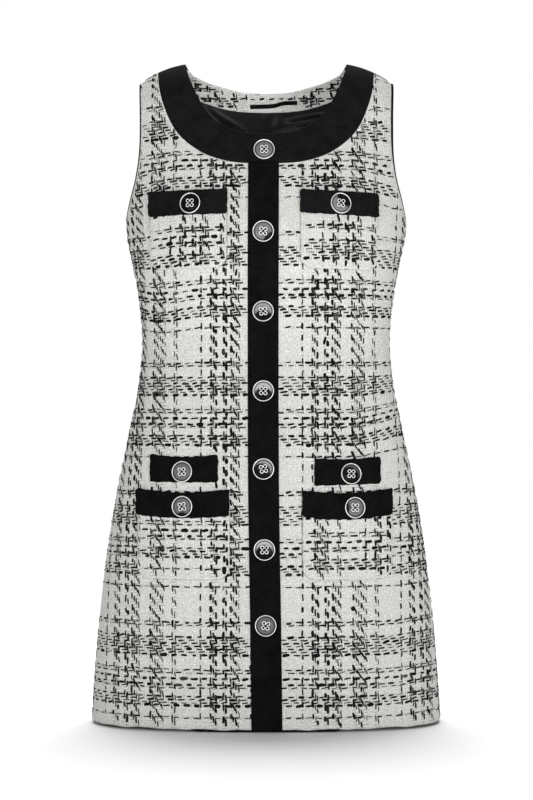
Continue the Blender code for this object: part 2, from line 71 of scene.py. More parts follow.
# Body sections, hem last. SQUARENESS is 2 for an ellipse and grows towards a box.
SQUARENESS = 2.35
SECTIONS = table(
    "z half_width front_depth back_depth",
    (0.030, 0.1760, 0.050, 0.052),
    (-0.020, 0.1775, 0.064, 0.070),
    (-0.080, 0.1790, 0.083, 0.086),
    (-0.130, 0.1796, 0.0985, 0.091),
    (-0.183, 0.1797, 0.1115, 0.090),
    (-0.205, 0.1782, 0.1145, 0.088),
    (-0.239, 0.1710, 0.1130, 0.082),
    (-0.277, 0.1640, 0.1030, 0.076),
    (-0.335, 0.1590, 0.0895, 0.071),
    (-0.393, 0.1635, 0.092, 0.079),
    (-0.451, 0.1750, 0.101, 0.096),
    (-0.528, 0.1910, 0.110, 0.110),
    (-0.606, 0.2040, 0.114, 0.114),
    (-0.683, 0.2130, 0.118, 0.115),
    (-0.760, 0.2194, 0.122, 0.117),
    (-0.822, 0.2236, 0.125, 0.119),
)
HEM = -0.822
HIP = -0.450
RIB = -0.260
UNDERARM = -0.183
HEM_FADE = 0.020
# Unevenness of the tweed's hem: size, length of a step over a turn, and turn.
HEM_WAVES = ((0.00045, 0.0110, 0.4), (0.00035, 0.0063, 2.0), (0.00022, 0.0041, 5.1))
# The lining's hem is lowest about the middle, where the photograph shows it.
LINING_HEM = -0.8245
LINING_HEM_LIFT = 0.006
LINING_HEM_FADE = 0.04
LINING_DIP_MIDDLE = -0.015
LINING_DIP_REACH = 0.100

# Shoulder line: level beside the neck, then falling off towards the arm.
SHOULDER_TOP = 0.0195
SHOULDER_FLAT = 0.095
SHOULDER_REACH = 0.075
SHOULDER_FALL = 5.84
SHOULDER_ROLL = 0.045

# Edges in front projection, from the centre line to the shoulder or from underarm to shoulder.
NECK = {
    "front": table(
        "inner_x inner_z outer_x outer_z",
        (0.0000, -0.0788, 0.0000, -0.1163),
        (0.0316, -0.0757, 0.0400, -0.1144),
        (0.0510, -0.0686, 0.0720, -0.1055),
        (0.0687, -0.0570, 0.0950, -0.0916),
        (0.0820, -0.0384, 0.1130, -0.0737),
        (0.0910, -0.0213, 0.1250, -0.0513),
        (0.1005, 0.0034, 0.1345, -0.0220),
        (0.1040, 0.0190, 0.1385, 0.0084),
    ),
    "back": table(
        "inner_x inner_z outer_x outer_z",
        (0.0000, -0.0120, 0.0000, -0.0490),
        (0.0300, -0.0103, 0.0400, -0.0475),
        (0.0510, -0.0056, 0.0700, -0.0430),
        (0.0700, -0.0008, 0.0950, -0.0340),
        (0.0850, 0.0045, 0.1150, -0.0215),
        (0.0970, 0.0105, 0.1300, -0.0075),
        (0.1040, 0.0190, 0.1385, 0.0084),
    ),
}
ARMHOLE = table(
    "front_x back_x z",
    (0.1797, 0.1797, -0.1830),
    (0.1738, 0.1730, -0.1590),
    (0.1660, 0.1635, -0.1300),
    (0.1614, 0.1580, -0.0950),
    (0.1610, 0.1575, -0.0500),
    (0.1628, 0.1628, -0.0074),
)
BINDING_WIDTH = 0.0022
BINDING_DEPTH = 0.0042
BINDING_PROUD = 0.0003
BINDING_SIDES = 12
BINDING_BOXINESS = 0.7
# How much thicker the binding of each side gets towards the shoulder, as in the photograph.
BINDING_SWELL = {1: 0.45, -1: 0.0}
SWELL_END = -0.125
SWELL_FADE = 0.05
CLOTH_EDGE = BINDING_WIDTH + ARMHOLE_SEAM

# Facing inside the back neck. Its top covers the neck line up to a share of its length.
FACING_SHARE = 0.60
FACING_COVER = 0.0022
FACING_COVER_END = 0.94
FACING_COVER_FADE = 0.1
FACING_DEPTH = TWEED + OVERLAY_GAP

# Mesh density of the walls.
SKIRT_ROWS = 62
BODY_ROWS = 32
CHEST_ROWS = 33
CHEST_ROWS_ON_SIDE = 12
NECK_ROWS = 36
TOWARDS_SHOULDER = 1.3
PANEL_COLUMNS = 54
LINING_COLUMNS = {"front": 24, "back": 46}
BAND_COLUMNS = 12
PATCH_CELL = 0.003
BAND_CELL = 0.0015
BAND_CORNER = 0.0026
CORNER_ROWS = 7
RIM_BULGE = 0.45
# Unevenness of the bands' edges: size, length of a step over a turn, and turns for each seed.
RAG_WAVES = ((0.00030, 0.0031, 1.0), (0.00022, 0.0016, 2.3), (0.00016, 0.0009, 4.1))
RAG_START = 0.7
# A band's seed for its level edges comes from its place, and its upright edges have another.
RAG_SEED = 1000
RAG_UPRIGHT = 5

# Placket: a strip down the front whose centre line leans a little.
PLACKET_WIDTH = 0.037
PLACKET_TOP = -0.1150
PLACKET_ROWS = 200
PLACKET_COLUMNS = 12
PLACKET_LEAN = table(
    "z x",
    (-0.822, 0.0012),
    (-0.690, -0.0005),
    (-0.600, -0.0020),
    (-0.500, -0.0032),
    (-0.300, -0.0036),
    (-0.100, -0.0030),
)

# Patches on the front. side is +1 for the wearer's left. drop is how far the outer end hangs
# below the inner end, dips are how far the middle of an edge sags, corner rounds the lower corners.
PATCH = "name side inner outer top bottom drop top_dip bottom_dip corner"
POCKETS = table(
    PATCH,
    ("chest_pocket_right", -1, 0.0495, 0.1445, -0.1530, -0.2460, 0.0020, 0.0, 0.0, 0.014),
    ("chest_pocket_left", 1, 0.0435, 0.1385, -0.1540, -0.2465, 0.0030, 0.0, 0.0, 0.014),
    ("hip_pocket_right", -1, 0.0460, 0.1600, -0.5280, -0.6360, 0.0, 0.0045, 0.0, 0.017),
    ("hip_pocket_left", 1, 0.0460, 0.1565, -0.5290, -0.6365, 0.0, 0.0045, 0.0, 0.017),
)
POCKET_BANDS = table(
    PATCH,
    ("chest_band_right", -1, 0.0486, 0.1457, -0.1503, -0.1803, 0.0020, 0.0, 0.0, 0.001),
    ("chest_band_left", 1, 0.0427, 0.1393, -0.1508, -0.1795, 0.0035, 0.0, 0.0, 0.001),
    ("hip_band_right", -1, 0.0460, 0.1610, -0.5243, -0.5565, 0.0, 0.0050, 0.0030, 0.001),
    ("hip_band_left", 1, 0.0455, 0.1567, -0.5260, -0.5575, -0.0015, 0.0045, 0.0045, 0.001),
)
UPPER_BANDS = table(
    PATCH,
    ("upper_hip_band_right", -1, 0.0605, 0.1450, -0.4812, -0.5148, 0.0, 0.0035, 0.0, 0.001),
    ("upper_hip_band_left", 1, 0.0608, 0.1430, -0.4863, -0.5190, -0.002, 0.002, 0.0, 0.001),
)
POCKET_LIFT = OVERLAY_GAP
POCKET_BAND_LIFT = OVERLAY_GAP + TWEED + STACK_GAP

# Buttons, placed in front projection. The last three columns paint a reflection on the face: how
# grey its pale part is, the direction of that part in degrees and how much of the face it
# covers, all of it over 1.
BUTTONS = table(
    "name x z seat turn shine side reach",
    ("button_neck", -0.0024, -0.0992, "cloth", 4, 0.13, 90, 1.1),
    ("button_front_1", -0.0035, -0.2029, "band", -6, 0.15, 135, 0.75),
    ("button_front_2", -0.0036, -0.3000, "band", 8, 0.20, 90, 0.42),
    ("button_front_3", -0.0033, -0.4017, "band", -3, 0.34, 90, 0.3),
    ("button_front_4", -0.0032, -0.4989, "band", 12, 0.24, 60, 0.22),
    ("button_front_5", -0.0020, -0.5990, "band", 0, 0.34, 90, 0.24),
    ("button_front_6", -0.0004, -0.6929, "band", -10, 0.10, 90, 1.1),
    ("button_chest_right", -0.0929, -0.1682, "pocket", 2, 0.0, 90, 0.3),
    ("button_chest_left", 0.0916, -0.1683, "pocket", -8, 0.16, 225, 0.45),
    ("button_upper_hip_right", -0.1037, -0.5027, "band", 6, 0.11, 90, 1.1),
    ("button_upper_hip_left", 0.1050, -0.5052, "band", -4, 0.09, 60, 0.14),
    ("button_hip_right", -0.1027, -0.5459, "pocket", 10, 0.11, 90, 0.8),
    ("button_hip_left", 0.1089, -0.5473, "pocket", -2, 0.12, 0, 0.8),
)
SEATS = {
    "cloth": SEAM,
    "band": OVERLAY_GAP + BAND_CLOTH + SEAM,
    "pocket": POCKET_BAND_LIFT + BAND_CLOTH + SEAM,
}

# Hanger loop: a narrow strip on the inside of the back neck.
HANGER_LOOP = table(
    "x z",
    (-0.0206, -0.0262),
    (0.0089, -0.0250),
    (0.0231, -0.0212),
    (0.0407, -0.0205),
)
LOOP_WIDTH = 0.0050
LOOP_STEPS = 40
LOOP_COLUMNS = 4

# The weave is a 2 and 2 twill. Yarns are counted towards the wearer's left and downwards.
WARP_PITCH = 0.00318
WEFT_PITCH = 0.00368
TWILL = 4
FINE = 0.0014
THIN = 0.0019
MEDIUM = 0.0026
THICK = 0.0035
# The black yarns of a repeat: their numbers, widths and how much they lean.
BLACK_WARPS = {
    0: (THIN, 0.0), 4: (MEDIUM, 0.05), 5: (THIN, 0.05), 6: (MEDIUM, 0.08), 9: (MEDIUM, 0.0),
    10: (MEDIUM, 0.05), 12: (MEDIUM, 0.08), 13: (THIN, 0.12), 14: (THIN, 0.15),
    15: (FINE, 0.15), 20: (MEDIUM, 0.1), 21: (FINE, 0.14), 22: (FINE, 0.18), 23: (THIN, 0.18),
    24: (FINE, 0.18), 25: (FINE, 0.15), 29: (FINE, 0.05), 30: (FINE, 0.05),
}
WEFT_WIDTHS = {
    0: THIN, 12: MEDIUM, 13: THIN, 17: MEDIUM, 18: THIN, 19: MEDIUM, 20: THIN, 21: MEDIUM,
    22: THIN, 23: THICK, 28: THIN, 29: THIN, 31: THICK, 33: THICK, 34: THIN, 37: MEDIUM,
    38: MEDIUM, 39: THIN, 40: THICK,
}
BLACK_WEFTS = {number: (width, 0.0) for number, width in WEFT_WIDTHS.items()}
# A warp lies over wefts number - 1 and number, a weft over warps number + 2 and number + 3, so
# over is what the later one adds to number. length is half a float's length over crossed_pitch,
# and bold is how much wider than its yarn a float is.
Yarns = namedtuple("Yarns", "black repeat over crossed_pitch length bold")
YARNS = {
    "warp": Yarns(BLACK_WARPS, 40, 0, WEFT_PITCH, 1.18, 1.16),
    "weft": Yarns(BLACK_WEFTS, 44, 3, WARP_PITCH, 1.36, 0.95),
}
# Where each piece of cloth was cut: the across place of warp 0 and the height of weft 0.
Cut = namedtuple("Cut", "across height")
CUTS = {
    "front": Cut(0.0440, -0.1577),
    "back": Cut(0.0200, -0.1577),
    "facing": Cut(-0.1070, 0.1230),
    "chest_pocket_left": Cut(0.0690, -0.1488),
    "chest_pocket_right": Cut(-0.1209, -0.0930),
    "hip_pocket_left": Cut(-0.0046, -0.1500),
    "hip_pocket_right": Cut(-0.0819, -0.1355),
}
# The lowest and highest across and height that can hold a black yarn.
BODY_BOX = ((-0.32, HEM), (0.32, 0.09))
FACING_BOX = ((-0.15, -0.1), (0.15, 0.09))
POCKET_BOX = ((-0.2, -0.7), (0.2, -0.1))
# Where yarns end: short of an edge, and a little way in under a cover.
EDGE_MARGIN = 0.0012
TUCKED = 0.002
# The facing's yarns: how bold, how far out, and the plain stretch and the loop that they avoid.
FACING_BOLD = 1.05
FACING_MARKED = 0.125
FACING_PALE = (-0.036, -0.003)
FACING_PALE_TOP = -0.0175
LOOP_MIDDLE = 0.0100
LOOP_HALF = 0.0325
LOOP_CLEAR = -0.0165

# Creases and soft swells, placed in front projection of the face that they are on. run is half
# the length, tilt turns it from level in degrees, width is half the breadth, rise is outwards.
CREASE = "x z run tilt width rise bow"
CREASES = {
    "front": table(
        CREASE,
        (0.120, -0.735, 0.095, 86, 0.022, 0.0016, 0.006),
        (0.168, -0.730, 0.090, 83, 0.018, -0.0014, 0.004),
        (0.066, -0.745, 0.080, 88, 0.020, -0.0012, -0.004),
        (-0.075, -0.740, 0.085, 93, 0.022, -0.0013, 0.005),
        (-0.128, -0.735, 0.092, 95, 0.020, 0.0016, -0.005),
        (-0.172, -0.728, 0.085, 97, 0.017, -0.0013, 0.004),
        (0.148, -0.345, 0.034, 12, 0.010, -0.0012, 0.003),
        (0.140, -0.372, 0.030, 8, 0.009, 0.0009, 0.003),
        (-0.147, -0.350, 0.036, -10, 0.010, -0.0012, 0.003),
        (-0.138, -0.378, 0.028, -6, 0.009, 0.0009, 0.002),
        (0.150, -0.205, 0.030, 38, 0.011, -0.0013, 0.003),
        (-0.152, -0.208, 0.032, -36, 0.011, -0.0013, 0.003),
        (0.140, -0.135, 0.030, 62, 0.011, 0.0010, 0.003),
        (-0.142, -0.140, 0.030, -60, 0.011, 0.0010, 0.003),
        (0.090, -0.430, 0.045, 70, 0.016, -0.0010, 0.004),
        (-0.096, -0.420, 0.042, -68, 0.016, -0.0010, 0.004),
    ),
    "back": table(
        CREASE,
        (0.060, -0.330, 0.050, 6, 0.013, -0.0016, 0.004),
        (-0.050, -0.352, 0.055, -5, 0.013, -0.0015, 0.004),
        (0.020, -0.375, 0.040, 2, 0.011, 0.0011, 0.003),
        (0.125, -0.360, 0.036, 14, 0.010, -0.0012, 0.003),
        (-0.128, -0.352, 0.036, -13, 0.010, -0.0012, 0.003),
        (0.125, -0.730, 0.092, 87, 0.022, 0.0017, 0.005),
        (0.070, -0.735, 0.085, 90, 0.020, -0.0014, 0.004),
        (-0.015, -0.740, 0.090, 92, 0.022, 0.0013, -0.004),
        (-0.095, -0.735, 0.090, 94, 0.021, -0.0015, 0.005),
        (-0.160, -0.725, 0.085, 96, 0.018, 0.0014, 0.004),
        (0.135, -0.170, 0.034, 50, 0.012, -0.0014, 0.003),
        (-0.137, -0.172, 0.034, -48, 0.012, -0.0014, 0.003),
        (0.075, -0.105, 0.040, 30, 0.014, -0.0009, 0.003),
        (-0.078, -0.108, 0.040, -30, 0.014, -0.0009, 0.003),
    ),
}
# Folds of the lining below the back facing, which stand inwards.
LINING_FOLDS = table(
    CREASE,
    (-0.0600, -0.0500, 0.034, -38, 0.0065, 0.0042, 0.003),
    (-0.0330, -0.0640, 0.030, -30, 0.0060, 0.0036, 0.003),
    (0.0500, -0.0460, 0.040, 12, 0.0060, 0.0042, -0.002),
    (0.0420, -0.0640, 0.032, 24, 0.0060, 0.0036, 0.002),
    (0.0090, -0.0600, 0.020, 64, 0.0060, 0.0040, 0.002),
)
CREASE_TAPER = 0.25
SEAM_FADE = 0.30

# Bows of the weft: how far it rises or drops on its way out to the side, about one height.
BOW = "side start end height spread rise"
BOWS = {
    "front": table(
        BOW,
        (1, 0.105, 0.175, -0.155, 0.060, -0.011),
        (-1, 0.105, 0.175, -0.155, 0.060, -0.010),
        (1, 0.105, 0.190, -0.455, 0.058, 0.013),
        (-1, 0.070, 0.130, -0.300, 0.055, -0.006),
        (-1, 0.140, 0.180, -0.300, 0.070, 0.006),
        (1, 0.150, 0.220, -0.720, 0.110, 0.004),
    ),
    "back": table(
        BOW,
        (1, 0.100, 0.180, -0.150, 0.060, -0.008),
        (-1, 0.100, 0.180, -0.160, 0.060, -0.010),
        (1, 0.110, 0.170, -0.420, 0.090, 0.008),
        (-1, 0.100, 0.170, -0.390, 0.100, 0.011),
    ),
}

# Rounds and steps of the sums that places on the surface are worked out with. Depth counts by
# ARC_DEPTH_SHARE in an arc's length. Cloth past the side seam turns by a radian in PAST_SEAM.
SHELL_ROUNDS = 6
BOW_ROUNDS = 4
ROLL_ROUNDS = 5
ROLL_STEPS = 12
ROLL_END = 0.02
NORMAL_STEP = 0.001
EDGE_STEPS = 60
ARC_LEVELS = np.linspace(HEM - 0.012, SHOULDER_TOP, 220)
ARC_STEPS = 240
ARC_DEPTH_SHARE = 0.6
INVERSE_STEPS = 400
PAST_SEAM = 0.08
NO_LENGTH = 1e-12


def smooth_curve(keys, values):
    """Return a function that runs a smooth curve through values at rising keys."""
    keys = np.asarray(keys, float)
    values = np.asarray(values, float)
    order = np.arange(len(keys))
    low = np.maximum(order - 1, 0)
    high = np.minimum(order + 1, len(keys) - 1)
    slopes = (values[high] - values[low]) / (keys[high] - keys[low])

    def at(key):
        spot = np.clip(key, keys[0], keys[-1])
        index = np.clip(np.searchsorted(keys, spot, side="right") - 1, 0, len(keys) - 2)
        span = keys[index + 1] - keys[index]
        part = (spot - keys[index]) / span
        rest = 1 - part
        return (values[index] * (1 + 2 * part) * rest * rest
                + values[index + 1] * (3 - 2 * part) * part * part
                + slopes[index] * span * part * rest * rest
                - slopes[index + 1] * span * part * part * rest)

    return at


heights, *section_columns = zip(*sorted(SECTIONS))
half_width, front_depth, back_depth = (smooth_curve(heights, sizes) for sizes in section_columns)
DEPTHS = {"front": front_depth, "back": back_depth}
lean_at = smooth_curve(*zip(*PLACKET_LEAN))


def signed_power(value, power):
    """Raise values to a power and keep their signs."""
    return np.sign(value) * np.abs(value) ** power


def unit(vectors):
    """Return vectors at length 1."""
    return vectors / np.maximum(np.linalg.norm(vectors, axis=-1, keepdims=True), NO_LENGTH)


def shoulder_height(x):
    """Return the height of the shoulder line at x."""
    run = np.clip(np.abs(x) - SHOULDER_FLAT, 0, SHOULDER_REACH)
    return SHOULDER_TOP - SHOULDER_FALL * run * run


def across_at(around, z):
    """Return x at an angle round the section."""
    return half_width(z) * signed_power(np.sin(around), 2 / SQUARENESS)


def angle_around(x, z):
    """Return how far round the section the point at x is."""
    share = np.minimum(np.abs(x) / half_width(z), 1)
    return np.sign(x) * np.arcsin(share ** (SQUARENESS / 2))


def turn_at(x, z):
    """Return how far down the roll over the shoulder the point at x, z is."""
    drop = np.maximum(shoulder_height(x) - z, 0)
    rolled = np.arccos(np.clip(1 - drop / SHOULDER_ROLL, -1, 1))
    return np.where(drop < SHOULDER_ROLL, rolled, math.pi / 2 + drop / SHOULDER_ROLL - 1)


def shell_point(around, turn, face):
    """Return points of the outer surface.

    around is 0 on the centre line and a quarter turn at the side seam. turn is 0 on the shoulder
    line, a quarter turn where the roll over the shoulder ends, and grows evenly below that.
    """
    across = signed_power(np.sin(around), 2 / SQUARENESS)
    forward = signed_power(np.cos(around), 2 / SQUARENESS)
    rolled = np.abs(turn) < math.pi / 2
    drop = SHOULDER_ROLL * np.where(rolled, 1 - np.cos(turn), 1 + np.abs(turn) - math.pi / 2)
    forward = forward * np.where(rolled, np.sin(turn), 1.0)
    x = half_width(UNDERARM) * across
    for _ in range(SHELL_ROUNDS):
        z = shoulder_height(x) - drop
        x = half_width(z) * across
    return np.stack([x, TOWARDS[face] * DEPTHS[face](z) * forward, z], axis=-1)


def surface_around(around, z, face):
    """Return points of the outer surface and their outward normals, by angle and height."""
    turn = turn_at(across_at(around, z), z)
    along, upward = (shell_point(around + side, turn - rise, face)
                     - shell_point(around - side, turn + rise, face)
                     for side, rise in ((NORMAL_STEP, 0), (0, NORMAL_STEP)))
    return shell_point(around, turn, face), unit(np.cross(along, upward)) * -TOWARDS[face]


def surface(x, z, face):
    """Return points of the outer surface at x, z and their outward normals."""
    return surface_around(angle_around(x, z), z, face)


def relief(x, z, creases):
    """Return how far creases stand out of the surface at x, z."""
    total = np.zeros(np.shape(x))
    for row in creases:
        cosine, sine = math.cos(math.radians(row.tilt)), math.sin(math.radians(row.tilt))
        along = ((x - row.x) * cosine + (z - row.z) * sine) / row.run
        beside = (z - row.z) * cosine - (x - row.x) * sine
        beside = (beside - row.bow * along * along) / (row.width * (1 - CREASE_TAPER * along))
        total += row.rise * np.exp(-beside * beside) * np.exp(-along ** 4)
    return total * np.clip((math.pi / 2 - np.abs(angle_around(x, z))) / SEAM_FADE, 0, 1)


def skin(around, z, face, lift=0.0):
    """Return points a lift off the creased outer surface, and the normals there."""
    place, normal = surface_around(around, z, face)
    rise = lift + relief(across_at(around, z), z, CREASES[face])
    return place + normal * np.expand_dims(rise, -1), normal


# Cloth places: across is the level arc length from the centre line, height is z below the roll
# over the shoulder and goes on by the length of the path over it.
def arc_grids(face):
    """Return the level arc lengths at evenly eased angles and the angles at even shares of them."""
    angles = math.pi / 2 * (0.5 - 0.5 * np.cos(np.linspace(0, math.pi, ARC_STEPS + 1)))
    level, angle = np.meshgrid(ARC_LEVELS, angles, indexing="ij")
    x = across_at(angle, level)
    y = DEPTHS[face](level) * signed_power(np.cos(angle), 2 / SQUARENESS)
    steps = np.hypot(np.diff(x, axis=1), np.diff(y, axis=1) * ARC_DEPTH_SHARE)
    lengths = np.concatenate([0 * ARC_LEVELS[:, None], np.cumsum(steps, axis=1)], axis=1)
    shares = np.linspace(0, 1, INVERSE_STEPS + 1)
    return lengths, np.array([np.interp(shares * row[-1], row, angles) for row in lengths])


ARCS = {face: arc_grids(face) for face in TOWARDS}


def look_up(grid, z, spot):
    """Return a grid's value at heights and at spots between its columns."""
    level = np.interp(z, ARC_LEVELS, np.arange(len(ARC_LEVELS)))
    low = np.minimum(level.astype(int), len(ARC_LEVELS) - 2)
    column = np.minimum(spot.astype(int), grid.shape[1] - 2)
    share, part = level - low, spot - column
    lower = grid[low, column] * (1 - part) + grid[low, column + 1] * part
    upper = grid[low + 1, column] * (1 - part) + grid[low + 1, column + 1] * part
    return lower * (1 - share) + upper * share


def arc_length(around, z, face):
    """Return the level arc length from the centre line."""
    eased = np.arccos(np.clip(1 - 4 * np.abs(around) / math.pi, -1, 1)) * ARC_STEPS / math.pi
    return np.sign(around) * look_up(ARCS[face][0], z, eased)


def arc_total(z, face):
    """Return the level arc length from the centre line to the side seam."""
    return look_up(ARCS[face][0], z, np.float64(ARC_STEPS))


def arc_angle(across, z, face):
    """Return the angle round the section at a level arc length."""
    total = arc_total(z, face)
    spot = np.clip(np.abs(across) / total, 0, 1) * INVERSE_STEPS
    over = np.maximum(np.abs(across) - total, 0) / PAST_SEAM
    return np.sign(across) * (look_up(ARCS[face][1], z, spot) + over)


def bow(across, height, face):
    """Return how far the weft is bowed upwards at cloth coordinates."""
    total = np.zeros(np.shape(across))
    for row in BOWS[face]:
        share = np.clip((across * row.side - row.start) / (row.end - row.start), 0, 1)
        eased = share * share * (3 - 2 * share)
        total += row.rise * eased * np.exp(-((height - row.height) / row.spread) ** 2)
    return total


def roll_length(turn, reach):
    """Return the length of the path over the shoulder from where the roll starts up to turn."""
    total = np.zeros(np.shape(turn))
    width = (math.pi / 2 - turn) / ROLL_STEPS
    for step in range(ROLL_STEPS):
        at = turn + width * (step + 0.5)
        total += width * np.hypot(SHOULDER_ROLL * np.sin(at), reach * np.cos(at))
    return total


def roll_reach(around, z, face):
    """Return how far the roll over the shoulder reaches forward."""
    return DEPTHS[face](z) * np.abs(np.cos(around)) ** (2 / SQUARENESS)


def cloth_height(around, z, face):
    """Return the cloth's height coordinate at an angle and height of the surface."""
    x = across_at(around, z)
    start = shoulder_height(x) - SHOULDER_ROLL
    turn = np.minimum(turn_at(x, z), math.pi / 2)
    straight = np.where(z < start, z, start + roll_length(turn, roll_reach(around, z, face)))
    across = arc_length(around, z, face)
    height = straight
    for _ in range(BOW_ROUNDS):
        height = straight - bow(across, height, face)
    return height


def cloth_place(across, height, face):
    """Return the angle and height of the surface at cloth coordinates, and if they are on it."""
    height = height + bow(across, height, face)
    level = np.minimum(height, SHOULDER_TOP - SHOULDER_ROLL)
    around = arc_angle(across, level, face)
    x = across_at(around, level)
    start = shoulder_height(x) - SHOULDER_ROLL
    excess = np.maximum(height - start, 0)
    reach = roll_reach(around, start, face)
    turn = np.full(np.shape(x), math.pi / 2)
    for _ in range(ROLL_ROUNDS):
        slope = np.hypot(SHOULDER_ROLL * np.sin(turn), reach * np.cos(turn))
        turn = turn + (roll_length(turn, reach) - excess) / slope
        turn = np.clip(turn, 0.0, math.pi / 2)
    z = np.where(excess > 0, start + SHOULDER_ROLL * np.cos(turn), height)
    around = np.where(excess > 0, angle_around(x, z), around)
    return around, z, (turn > ROLL_END) & (np.abs(across) < arc_total(level, face))


def yarn_counts(around, z, face, cut):
    """Return warp and weft numbers of cloth points, as vectors."""
    warp = (arc_length(around, z, face) - cut.across) / WARP_PITCH
    weft = (cut.height - cloth_height(around, z, face)) / WEFT_PITCH
    return np.stack([warp, weft, np.zeros_like(warp)], axis=-1)


def edge_points(knots, face, shares):
    """Return x, z at shares of the length of the curve through knots on the surface."""
    spans = len(knots) - 1
    fine = np.linspace(0, spans, EDGE_STEPS * spans + 1)
    flat = np.stack([smooth_curve(range(spans + 1), column)(fine) for column in zip(*knots)], axis=1)
    places = surface(flat[:, 0], flat[:, 1], face)[0]
    steps = np.linalg.norm(np.diff(places, axis=0), axis=1)
    lengths = np.concatenate([[0], np.cumsum(steps)])
    targets = np.asarray(shares) * lengths[-1]
    return np.stack([np.interp(targets, lengths, column) for column in flat.T], axis=1)


def neighbours(points):
    """Return the runs from the point before to the point after each point."""
    return np.concatenate([points[1:], points[-1:]]) - np.concatenate([points[:1], points[:-1]])


def neck_inset(edge, inset):
    """Move a neck edge into the cloth, its ends kept on the centre line and the shoulder."""
    run = unit(neighbours(edge))
    moved = edge + np.stack([run[:, 1], -run[:, 0]], axis=1) * inset
    moved[0] = (0.0, moved[0, 1])
    moved[-1, 1] = shoulder_height(moved[-1, 0])
    return moved


def neck_shares(rows):
    """Return the shares of the neck's length where rows meet it, closer near the shoulder."""
    return 1 - (1 - np.arange(rows + 1) / rows) ** TOWARDS_SHOULDER


def neck_edge(face, column):
    """Return the neck's inner or outer edge as x, z points from the centre to the shoulder."""
    knots = [(getattr(row, column + "_x"), getattr(row, column + "_z")) for row in NECK[face]]
    return neck_inset(edge_points(knots, face, neck_shares(NECK_ROWS)), 0.0)


def facing_edges():
    """Return the upper and lower edges of the facing, which covers the neck line in the middle."""
    top, seam = neck_edge("back", "inner"), neck_edge("back", "outer")
    share = neck_shares(NECK_ROWS)[:, None]
    covered = np.clip((FACING_COVER_END - share) / FACING_COVER_FADE, 0, 1)
    return neck_inset(top, OVERLAY_GAP - FACING_COVER * covered), top + (seam - top) * FACING_SHARE


def nearest_on_surface(places, face):
    """Return x, z of the surface at each place's height and angle round the section."""
    drop = np.maximum(shoulder_height(places[:, 0]) - places[:, 2], 0)
    lift = np.sin(np.arccos(np.clip(1 - drop / SHOULDER_ROLL, 0, 1)))
    depth = DEPTHS[face](places[:, 2]) * lift
    width = half_width(places[:, 2])
    around = np.arctan2(np.abs(places[:, 0] / width) ** (SQUARENESS / 2),
                        np.abs(places[:, 1] / depth) ** (SQUARENESS / 2))
    return np.stack([width * np.sin(around) ** (2 / SQUARENESS), places[:, 2]], axis=1)


def armhole_edge(face, inset=0.0):
    """Return the armhole's edge as x, z points, moved along the surface into the cloth."""
    knots = [(getattr(row, face + "_x"), row.z) for row in ARMHOLE]
    lower = CHEST_ROWS - CHEST_ROWS_ON_SIDE
    start = lower / (lower + NECK_ROWS)
    shares = np.concatenate([np.arange(lower) / (lower + NECK_ROWS),
                             start + (1 - start) * neck_shares(NECK_ROWS)])
    points = edge_points(knots, face, shares)
    if inset == 0:
        return points
    places, normals = surface(points[:, 0], points[:, 1], face)
    inward = unit(np.cross(neighbours(places), normals)) * TOWARDS[face]
    moved = nearest_on_surface(places + inward * inset, face)
    low_z = points[0, 1] - inset
    tip_x = points[-1, 0] - inset
    moved[0] = (half_width(low_z), low_z)
    moved[-1] = (tip_x, shoulder_height(tip_x))
    return moved


def row_ends(neck, armhole, hem):
    """Return the inner and outer ends of every row of half a panel, hem first, and its lifts."""
    levels = np.concatenate([start + (end - start) * np.arange(rows) / rows
                             for start, end, rows in ((hem, HIP, SKIRT_ROWS), (HIP, RIB, BODY_ROWS))])
    rise = np.arange(CHEST_ROWS_ON_SIDE) / CHEST_ROWS_ON_SIDE
    side = np.concatenate([levels, RIB + (armhole[0, 1] - RIB) * rise])
    outer = np.concatenate([np.stack([half_width(side), side], axis=1), armhole])
    centre = RIB + (neck[0, 1] - RIB) * np.arange(CHEST_ROWS) / CHEST_ROWS
    middle = np.concatenate([levels, centre])
    inner = np.concatenate([np.stack([0 * middle, middle], axis=1), neck])
    shares = np.concatenate([0 * middle, (np.arange(NECK_ROWS + 1) / NECK_ROWS) ** 2])
    return inner, outer, shares[:, None]


def half_grid(rows, columns):
    """Return the angle and height of the surface at each row and column of half a panel."""
    inner, outer, shoulder_share = rows
    share = np.arange(columns + 1) / columns
    start, end = (angle_around(ends[:, :1], ends[:, 1:]) for ends in (inner, outer))
    around = start + (end - start) * share
    level = inner[:, 1:] + (outer[:, 1:] - inner[:, 1:]) * share
    x = across_at(around, level)
    line = shoulder_height(inner[:, :1]) * (1 - share)
    line = line + shoulder_height(outer[:, :1]) * share
    z = level + shoulder_share * (shoulder_height(x) - line)
    return np.where(shoulder_share > 0, angle_around(x, z), around), z


def grid_faces(index):
    """Return the quads of a grid of vertex numbers."""
    return np.stack([index[:-1, :-1], index[:-1, 1:], index[1:, 1:], index[1:, :-1]],
                    axis=-1).reshape(-1, 4)


def ring_faces(rings, sides, closed=False):
    """Return the quads between rings of points and, if closed, from the last ring to the first."""
    index = np.arange(rings * sides).reshape(rings, sides)
    index = np.concatenate([index, index[:, :1]], axis=1)
    return grid_faces(np.concatenate([index, index[:1]]) if closed else index)


def boundary_edges(faces):
    """Return the directed edges that only one face uses."""
    starts = faces.reshape(-1)
    ends = np.roll(faces, -1, axis=1).reshape(-1)
    size = faces.max() + 1
    lone = ~np.isin(starts * size + ends, ends * size + starts)
    return np.stack([starts[lone], ends[lone]], axis=1)


